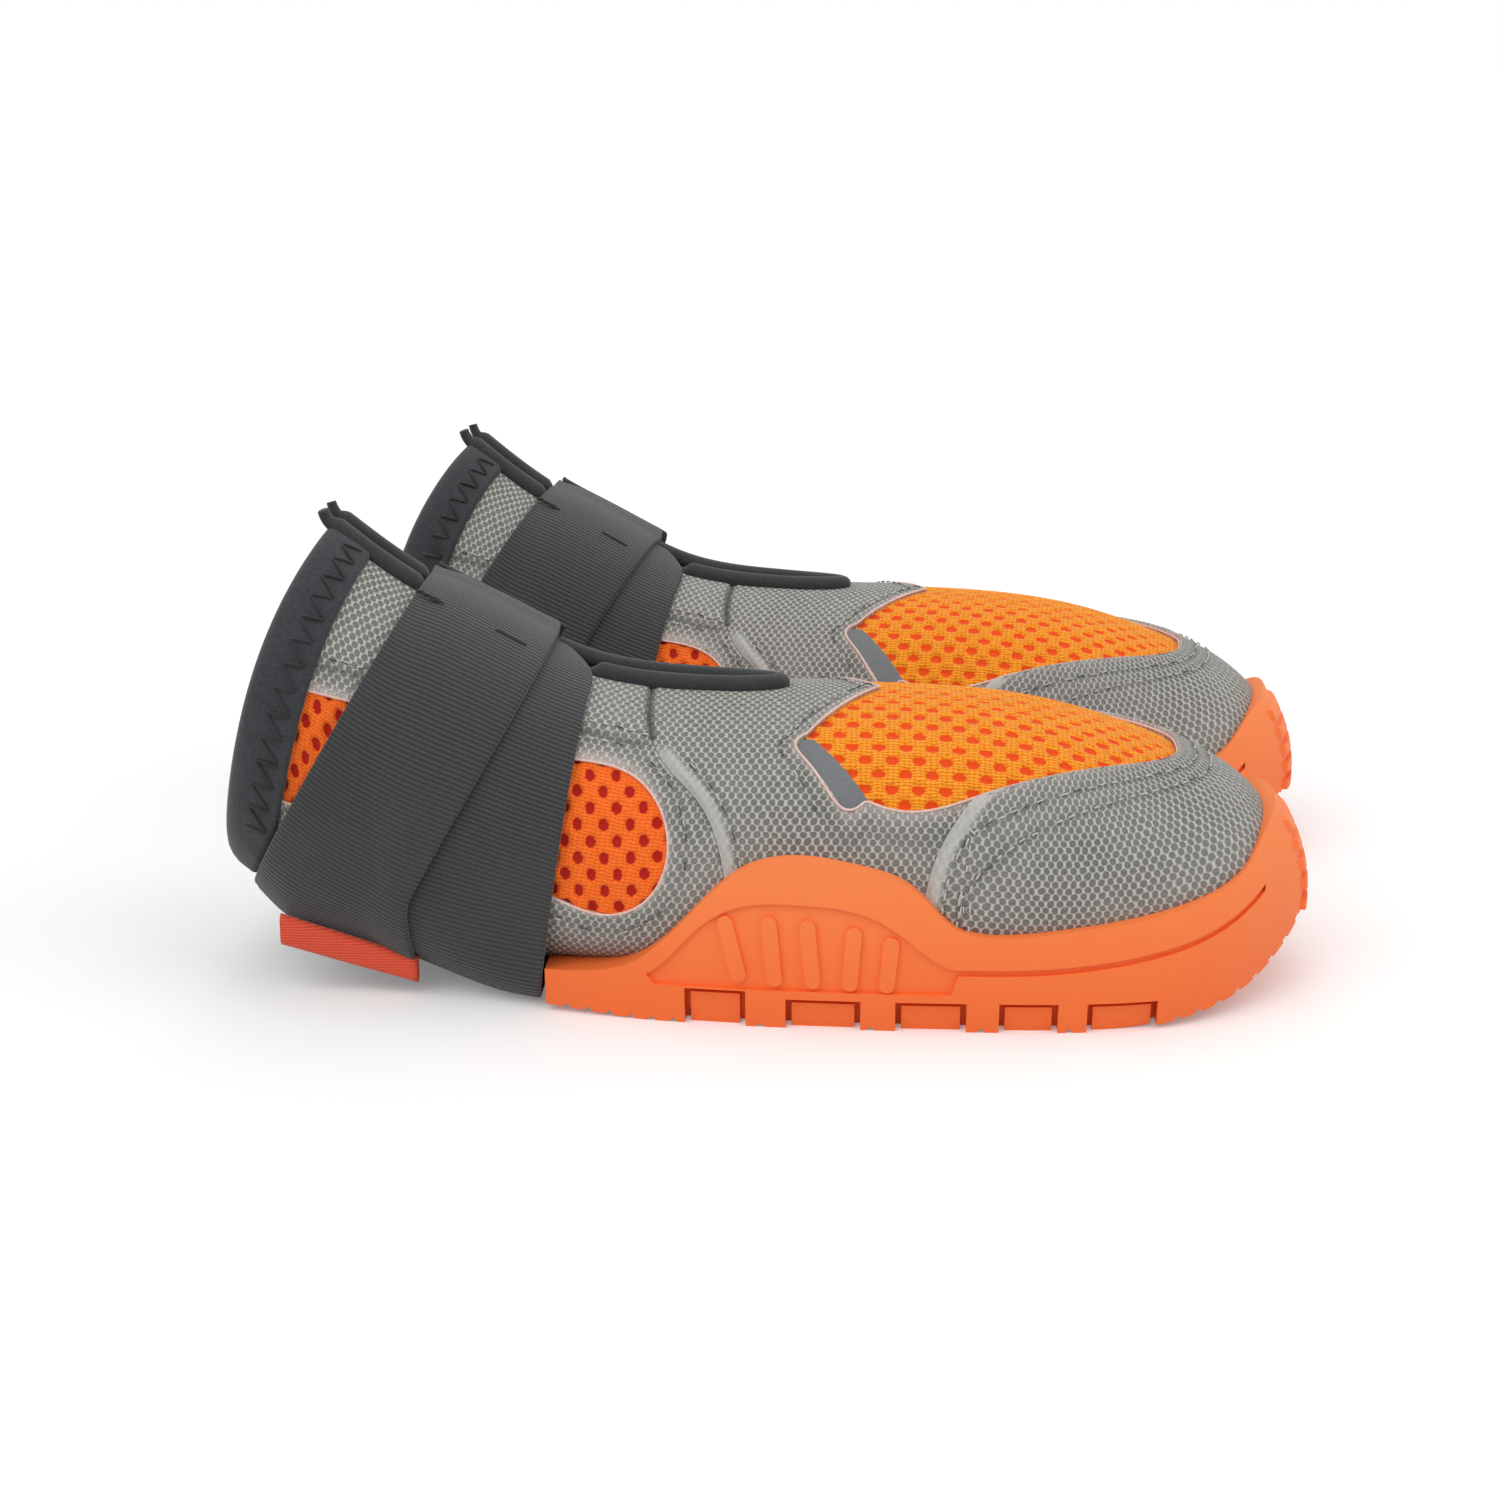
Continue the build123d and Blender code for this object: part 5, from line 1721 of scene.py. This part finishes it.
print("the web sags by up to", SAG, "mm and keeps", FLOOR_GAP, "mm off the floor")

# %% Places on the far side
def w_at_y(y, x, height):
    """w on the far side above the widest line where y is reached."""
    ws = np.linspace(0.0, 1.0, 200)
    return float(np.interp(y, body(u_at(x), ws, height)[:, 1], ws))


def w_at_z(z, x, height):
    """w on the far side where the level falls to z."""
    ws = np.linspace(0.2, 1.9, 400)
    return float(np.interp(-z, -body(u_at(x), ws, height)[:, 2], ws))


print("the strap end starts at w =", round(w_at_y(FLAP_ROOT_Y, ROOT_X, FLAP_BASE), 3))

# %% Two turns
around = np.concatenate([np.linspace(-2, 0, 110), np.linspace(0, 2, 110)[1:]])
first_patch = band_patch(around, inner_run, outer_run)
first_sag = sag(first_patch, 2 * STRAP_T)
first = band("strap_first", first_patch, STRAP_T + first_sag, 0.02 + first_sag,
             stands_for=["strap_first_turn"])
bar_end = w_at_y(FLAP_ROOT_Y - 0.3, ROOT_X, FLAP_TOP)
second_patch = band_patch(np.concatenate([np.linspace(-2, 0, 110),
                                          np.linspace(0, bar_end, 18)[1:]]), outer_run)
second = band("strap_second", second_patch, second_top, second_under,
              stands_for=["strap_second_turn"])
print("turns:", [round(float(np.ptp(g["map"][:, 0])), 1) for g in (first_patch, second_patch)],
      "mm of webbing")

# %% [markdown]
# The free end peels off its pad. Turned as a stiff plate it would tear away from the stitched bar. `bending` names
# the body and the points where a bend over its first millimetres would start and end, but the piece only keeps its
# baked place and doesn't bend. The grid is finer there.

# %% Free end of the strap
BAR_END_Y, FLAP_FULL_Y = 11, 16

flap_from = w_at_y(FLAP_ROOT_Y + 0.05, ROOT_X, FLAP_BASE)
flap_bend = w_at_y(FLAP_ROOT_Y + FLAP_BEND + 0.5, ROOT_X, FLAP_BASE)
flap_to = w_at_z(FLAP_END_Z, END_X, FLAP_BASE)
flap_patch = band_patch(np.concatenate([np.linspace(flap_from, flap_bend, 14),
                                        np.linspace(flap_bend, flap_to, 38)[1:]]),
                        outer_run, height=FLAP_BASE)
bending = ("strap_end", (ROOT_X, FLAP_ROOT_Y, ROOT_Z), (ROOT_X, FLAP_ROOT_Y + FLAP_BEND, ROOT_Z))


def flap_top(p, g):
    """Level with the bar at the root, and at full height from FLAP_FULL_Y on."""
    return FLAP_TOP - BAR_CLEAR + BAR_CLEAR * smooth(p[:, 1], BAR_END_Y, FLAP_FULL_Y)


flap = band("strap_end", flap_patch, flap_top, FLAP_BASE, bending, ["strap_flap"])
print(f"strap end: {np.ptp(flap_patch['map'][:, 0]):.1f} mm of webbing")

# %% Hook and loop pads
PAD_MARGIN, PAD_CLEAR = 2.0, 0.02

pad_w = np.linspace(w_at_y(FLAP_ROOT_Y + 3, ROOT_X, FLAP_BASE),
                    w_at_z(FLAP_END_Z + 1, END_X, FLAP_BASE), 34)
pad_patch = band_patch(pad_w, outer_run, low=PAD_MARGIN, high=STRAP_WIDTH - PAD_MARGIN)
loops = band("loop_pad", pad_patch, STRAP_T + PAD_T - PAD_CLEAR, STRAP_T + 0.01, "boot",
             ["loop_patch"], LOOPS, 0.3)
hooks = band("hook_pad", pad_patch, FLAP_BASE - 0.01, FLAP_BASE - PAD_T, "strap_end",
             ["hook_patch"], HOOKS, 0.3)
print(f"pads: {np.ptp(pad_patch['map'][:, 0]):.1f} mm long")

# %% [markdown]
# ## The pull tab
#
# The pull tab is a ribbon folded into a loop that hangs under the heel. A plane with a Simple Deform could be
# folded, but the loop is a slot in section, two straight sides and two half rounds, which is easy to write down.
# The ribbon's own flat section is carried round the slot and waves a little. The loop keeps its baked place and
# doesn't bend with the tab's body.

# %% Ribbon loop
# The right boot isn't turned, so its tab's box only has to be shifted
tab_box = [np.array(c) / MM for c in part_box("right_pull_tab")]
tab_low, tab_high = (c - PLACES["right"][1] for c in tab_box)
TAB_WIDTH, TAB_DROP, RIBBON_T = 2.4, 4.6, 0.6
TAB_RISE, TAB_LEVEL, TAB_DEEPER = 1.3, 2.0, 1.0
TAB_WAVE = 0.06


def tab_rings():
    """Rings round the loop: each is the ribbon's section, long in x and thin across.

    The whole loop is raised, by TAB_RISE at its rear and TAB_LEVEL at its front, and its
    lower edge is let down by TAB_DEEPER at the rear."""
    radius = TAB_WIDTH / 2 - RIBBON_T / 2
    straight = TAB_DROP / 2 - TAB_WIDTH / 2
    angle = np.linspace(0, 2 * math.pi, 48, endpoint=False)
    y, z = radius * np.cos(angle), radius * np.sin(angle)
    z = z + np.sign(np.round(z, 6)) * straight
    centre = np.stack([y, z], -1)
    out = np.stack([np.cos(angle), np.sin(angle)], -1)
    share = np.linspace(0, 1, 30)
    half = RIBBON_T / 2
    section = np.concatenate([np.stack([share, 0 * share + half], -1),
                              np.stack([share[::-1], 0 * share - half], -1)])
    x = tab_low[0] + (tab_high[0] - tab_low[0]) * section[:, 0]
    fall = (tab_high[2] - tab_low[2] - TAB_DROP) * section[:, 0]
    wave = TAB_WAVE * np.sin(section[:, 0] * 9.0)
    points = np.empty((len(centre), len(section), 3))
    points[..., 0] = x
    points[..., 1] = (tab_low[1] + tab_high[1]) / 2 + centre[:, :1] + out[:, :1] * section[:, 1]
    points[..., 2] = (tab_high[2] - TAB_DROP / 2 - fall
                      + centre[:, 1:] + out[:, 1:] * section[:, 1])
    points[..., 1] += wave * (centre[:, 1:] < 0)
    back = 1 - section[:, 0]
    low = (straight + radius - centre[:, 1:]) / (2 * (straight + radius))
    points[..., 2] += TAB_RISE * back + TAB_LEVEL * (1 - back) - TAB_DEEPER * back * low
    return points


rings = tab_rings()
print(f"pull tab: {np.ptp(rings[..., 0]):.1f} mm long, {np.ptp(rings[..., 2]):.1f} mm high")

# %% Where the tab bends
TAB_BEND = 2.6


def tab_bend():
    """The ribbon hangs from its seam. Returns the tab's body, the rear of the seam and a point TAB_BEND below it,
    which `piece` doesn't use for a bend."""
    rear = np.array([tab_low[0], (tab_low[1] + tab_high[1]) / 2, tab_high[2] - TAB_WIDTH / 2])
    along = np.array([tab_high[0] - tab_low[0], 0.0,
                      TAB_DROP - tab_high[2] + tab_low[2]])
    along /= np.linalg.norm(along)
    return "tab", rear, rear + TAB_BEND * np.array([along[2], 0.0, -along[0]])


tabs = [piece(side, "ribbon_loop", swept(rings, closed=True), RIBBON, tab_bend(), ["pull_tab"],
              rings.reshape(-1, 3)[:, [2, 0]]) for side in SIDES]
print("the tab bends over", TAB_BEND, "mm below its seam")

# %% [markdown]
# ## Cut edges and sewing
#
# Round each window the cloth's cut edge shows as a thin pale line. A stripe in the panel's
# material would be as wide as a grid cell and ragged, so the edge is a bead of its own.

# %% Cut edges
ROUND_STRIP = [VAMP_STRIP[0], (6.4, -20.0), (9.2, -23.8), (15.0, -28.9), VAMP_STRIP[1]]
EDGE_HALF, EDGE_STEP, SIDE_EDGE_AT, TOP_EDGE_AT = 0.24, 0.6, -0.36, -0.05


def edge_bead(line, view, height):
    """A closed bead along a drawn line."""
    u, w = seat(line, view)
    rings = bead(laid(u, w, height, EDGE_STEP), EDGE_HALF, EDGE_HALF, 6, True)
    return swept(rings, True)


window_line = even(np.concatenate([WINDOW, WINDOW[:1]]), 160)
vamp_line = mirrored(np.concatenate([VAMP_CORNERS[:1], curve(ROUND_STRIP, 24),
                                     curve(VAMP_FRONT, 50)]))
vamp_line = even(np.concatenate([vamp_line, vamp_line[:1]]), 260)
edges = [edge_bead(window_line, view, SIDE_EDGE_AT) for view in ("near", "far")]
edges.append(edge_bead(vamp_line, "plan", TOP_EDGE_AT))
cut_edges = joined(edges)
for side in SIDES:
    piece(side, "cut_edges", cut_edges, CUT_EDGE)
print("cut edges round", len(edges), "windows a boot")

# %% [markdown]
# The rows of sewing lie in the grooves that were made with the panels. Their lines are the panels' own outlines
# moved inwards. A dashed texture would be flat, and real thread stands up and catches the light. The pale stitches
# are thread, and the dark ones are painted shade that stands for the shadow in the stitch holes. A seeded random
# draw leaves some out and turns each a little.

# %% Lines of sewing
def between(line, low, high):
    """The part of a side-view line between two heights."""
    return line[(line[:, 1] > low) & (line[:, 1] < high)]


def row_where(level, value, lines, tolerance=0.25):
    """The parts of drawn lines, as (u, w), where the level set really has that value."""
    kept = []
    for u, w in lines:
        good = np.abs(level(body(u, w), w) - value) < tolerance
        kept.append(np.stack([u[good], w[good]], -1))
    return np.concatenate(kept)


def cap_row(inset):
    """A row round the toe cap: up the near side, round the mesh, and down the far side."""
    rear = offset(curve(TOE_CAP_REAR, 120), inset)[::-1]
    rear = between(rear, 14, 46)
    front = offset(curve(VAMP_FRONT, 120), -inset)
    near = row_where(toe_level, inset, [seat(rear, "near"), seat(front, "plan")])
    far = near[::-1] * [1, -1]
    return np.concatenate([near, far]).T


LEVEL_ROW, ROW_REACH_Y = 1.3, 29

rows = [cap_row(inset) for inset in CAP_ROWS]
ring = offset(window_line, RING_ROW)
ring = ring[behind(np.stack([ring[:, 0], 0 * ring[:, 0], ring[:, 1]], -1), INNER_EDGE) < 1.0]
gaps = np.linalg.norm(np.diff(ring, axis=0, append=ring[:1]), axis=1)
ring = np.roll(ring, -int(np.argmax(gaps) + 1), axis=0)
front = between(offset(curve(QUARTER_FRONT, 120), SADDLE_ROW), 18, 43.5)
level_seam = even(LEVEL_SEAM + [0.0, LEVEL_ROW], 40)
for drawn in (ring, front, level_seam):
    rows += both_sides(drawn)
rear_edge = offset(even(np.array(VAMP_CORNERS[:2]), 40), -MESH_ROW)
corner = offset(even(np.array([VAMP_CORNERS[1], (6.0, -20.5), (14.5, -30.5)]), 40), -MESH_ROW)
half = np.concatenate([rear_edge, corner[8:]])
both = np.concatenate([half[::-1], (half * [1, -1])[1:]])
rows.append(seat(both[np.abs(both[:, 1]) < ROW_REACH_Y], "plan"))
print(len(rows), "lines of sewing a boot")

# %% Rows of stitches
STITCH_PITCH, STITCH_LIFT, WANDER = 2.35, 0.12, 0.05
DARK_OFTEN, PALE_OFTEN, PALE_OFTEN_CAP = 0.6, 0.45, 0.8
DARK_SIZE, DARK_RADIUS = 1.6, 0.13
PALE_SIZE, PALE_RADIUS = 1.45, 0.17

dark, pale = [], []
for count, (u, w) in enumerate(rows):
    on_cap = count < len(CAP_ROWS)
    line = laid(u, w, STITCH_LIFT + (CAP_RISE if on_cap else 0.0), STITCH_PITCH)
    random = np.random.default_rng(count)
    n = len(line["run"])
    often = PALE_OFTEN_CAP if on_cap else PALE_OFTEN
    # the dark capsules are painted shade of the stitch holes, the pale ones are thread
    for share, store, size, radius in (
            (random.random(n) < DARK_OFTEN, dark, DARK_SIZE, DARK_RADIUS),
            (random.random(n) < often, pale, PALE_SIZE, PALE_RADIUS)):
        shake = random.normal(0, WANDER, n)[:, None]
        way = line["tangent"] + line["side"] * shake
        way /= np.linalg.norm(way, axis=1, keepdims=True)
        spots = line["points"] + line["side"] * shake
        store.append(stitches(spots[share], way[share], line["normal"][share], size, radius))
for side in SIDES:
    piece(side, "stitch_hole_shadows", joined(dark), STITCH_HOLE_SHADE)
    piece(side, "pale_stitches", joined(pale), PALE_THREAD)
print(sum(len(s["points"]) // STITCH_POINTS for s in dark + pale), "stitches a boot")

# %% [markdown]
# The collar is held by a wide zigzag, one straight thread from each corner to the next. It
# could be one bent cord, but real zigzag thread dips at every corner, so each leg is a long
# stitch. The legs under the strap are left out.

# %% Zigzag on the collar
ZIGZAG_STEP, ZIGZAG_FROM, ZIGZAG_TO, ZIGZAG_MIDDLE = 2.1, 4.6, 9.0, 7.0
ZIGZAG_RADIUS, ZIGZAG_LAP = 0.3, 1.02
W = ring_of_w(1200, SLIT_W + 0.06)
middle = body(u_where(past_rim, ZIGZAG_MIDDLE, W, 0.0), W)
run = np.r_[0, np.cumsum(np.linalg.norm(np.diff(middle, axis=0), axis=1))]
corners = np.interp(np.arange(0, run[-1], ZIGZAG_STEP), run, np.arange(len(W)))
w_corner = W[np.round(corners).astype(int)]
q = np.where(np.arange(len(w_corner)) % 2, ZIGZAG_FROM, ZIGZAG_TO)
u_corner = u_where(past_rim, q, w_corner, COLLAR_RISE)
ends = body(u_corner, w_corner, COLLAR_RISE + STITCH_LIFT)
free = under_strap(ends, w_corner) < 0.1
free = free[:-1] & free[1:] & (np.abs(np.diff(w_corner)) < 1)
way, middle = np.diff(ends, axis=0), (ends[1:] + ends[:-1]) / 2
size = np.linalg.norm(way, axis=1)
normal = outward(u_corner, w_corner)[1:]
zigzag = stitches(middle[free], (way / size[:, None])[free], normal[free],
                  size[free] * ZIGZAG_LAP, ZIGZAG_RADIUS)
for side in SIDES:
    piece(side, "collar_zigzag", zigzag, BLACK_THREAD)
print(int(free.sum()), "legs of zigzag a boot")

# %% [markdown]
# Two bar tacks, short dense bars of thread, sew the strap down near the crest. Nine close
# stitches that lean to and fro make one, and a texture would again be flat.

# %% Bar tacks on the strap
TACKS_AT, TACK_W, TACK_MARGIN = (7.5, 23.3), -0.2, 0.3
TACK_HALF, TACK_STITCHES = 2.4, 9
TACK_SIZE, TACK_RADIUS = 1.6, 0.2


def tack_stitch(back, across):
    """One stitch of a bar, `across` mm from its middle, square to the web's way out."""
    place = np.clip(back + across, TACK_MARGIN, STRAP_WIDTH - TACK_MARGIN)
    w = np.array([TACK_W])
    u = u_where(lambda p: behind(p, OUTER_EDGE), place, w, 2 * STRAP_T, rising=False)
    spot, normal = body(u, w, 2 * STRAP_T - 0.02), outward(u, w)
    lean = np.array([[0.6, 0.2 * (-1) ** round(across * 2), 0.5]])
    lean -= (lean * normal).sum(1, keepdims=True) * normal
    lean /= np.linalg.norm(lean, axis=1, keepdims=True)
    return stitches(spot, lean, normal, TACK_SIZE, TACK_RADIUS)


tacks = joined([tack_stitch(back, across) for back in TACKS_AT
                for across in np.linspace(-TACK_HALF, TACK_HALF, TACK_STITCHES)])
for side in SIDES:
    piece(side, "strap_tacks", tacks, BLACK_THREAD)
print(len(TACKS_AT), "bar tacks a boot")

# %% [markdown]
# ## What each soft piece is
#
# Someone who uses the boots wants to know what is cloth, how large it was when flat and what it rests on. That
# could be guessed from the meshes, but bent cloth hides its flat size. So the flat area of each panel is worked
# out from its grid, and the cloth of a boot is printed. The collar and the insole are foam.


def cut_from(pieces, area):
    """Works out a panel's area of `area` mm2 in square metres, and keeps nothing."""
    for made, side in zip(pieces, SIDES):
        area * MM * MM


cut_from(quarter, quarter_area)
cut_from(saddle, saddle_area)
cut_from(toe_cap, toe_area)
cut_from(vamp, vamp_area)
for made in windows.values():
    cut_from(made, window_area / 2)
cut_from(lining, lining_area)
cut_from(gusset, gusset_area)
print("cloth a boot:", round((quarter_area + saddle_area + toe_area) / 100, 1), "cm2 of weave,",
      round((vamp_area + window_area) / 100, 1), "cm2 of mesh")
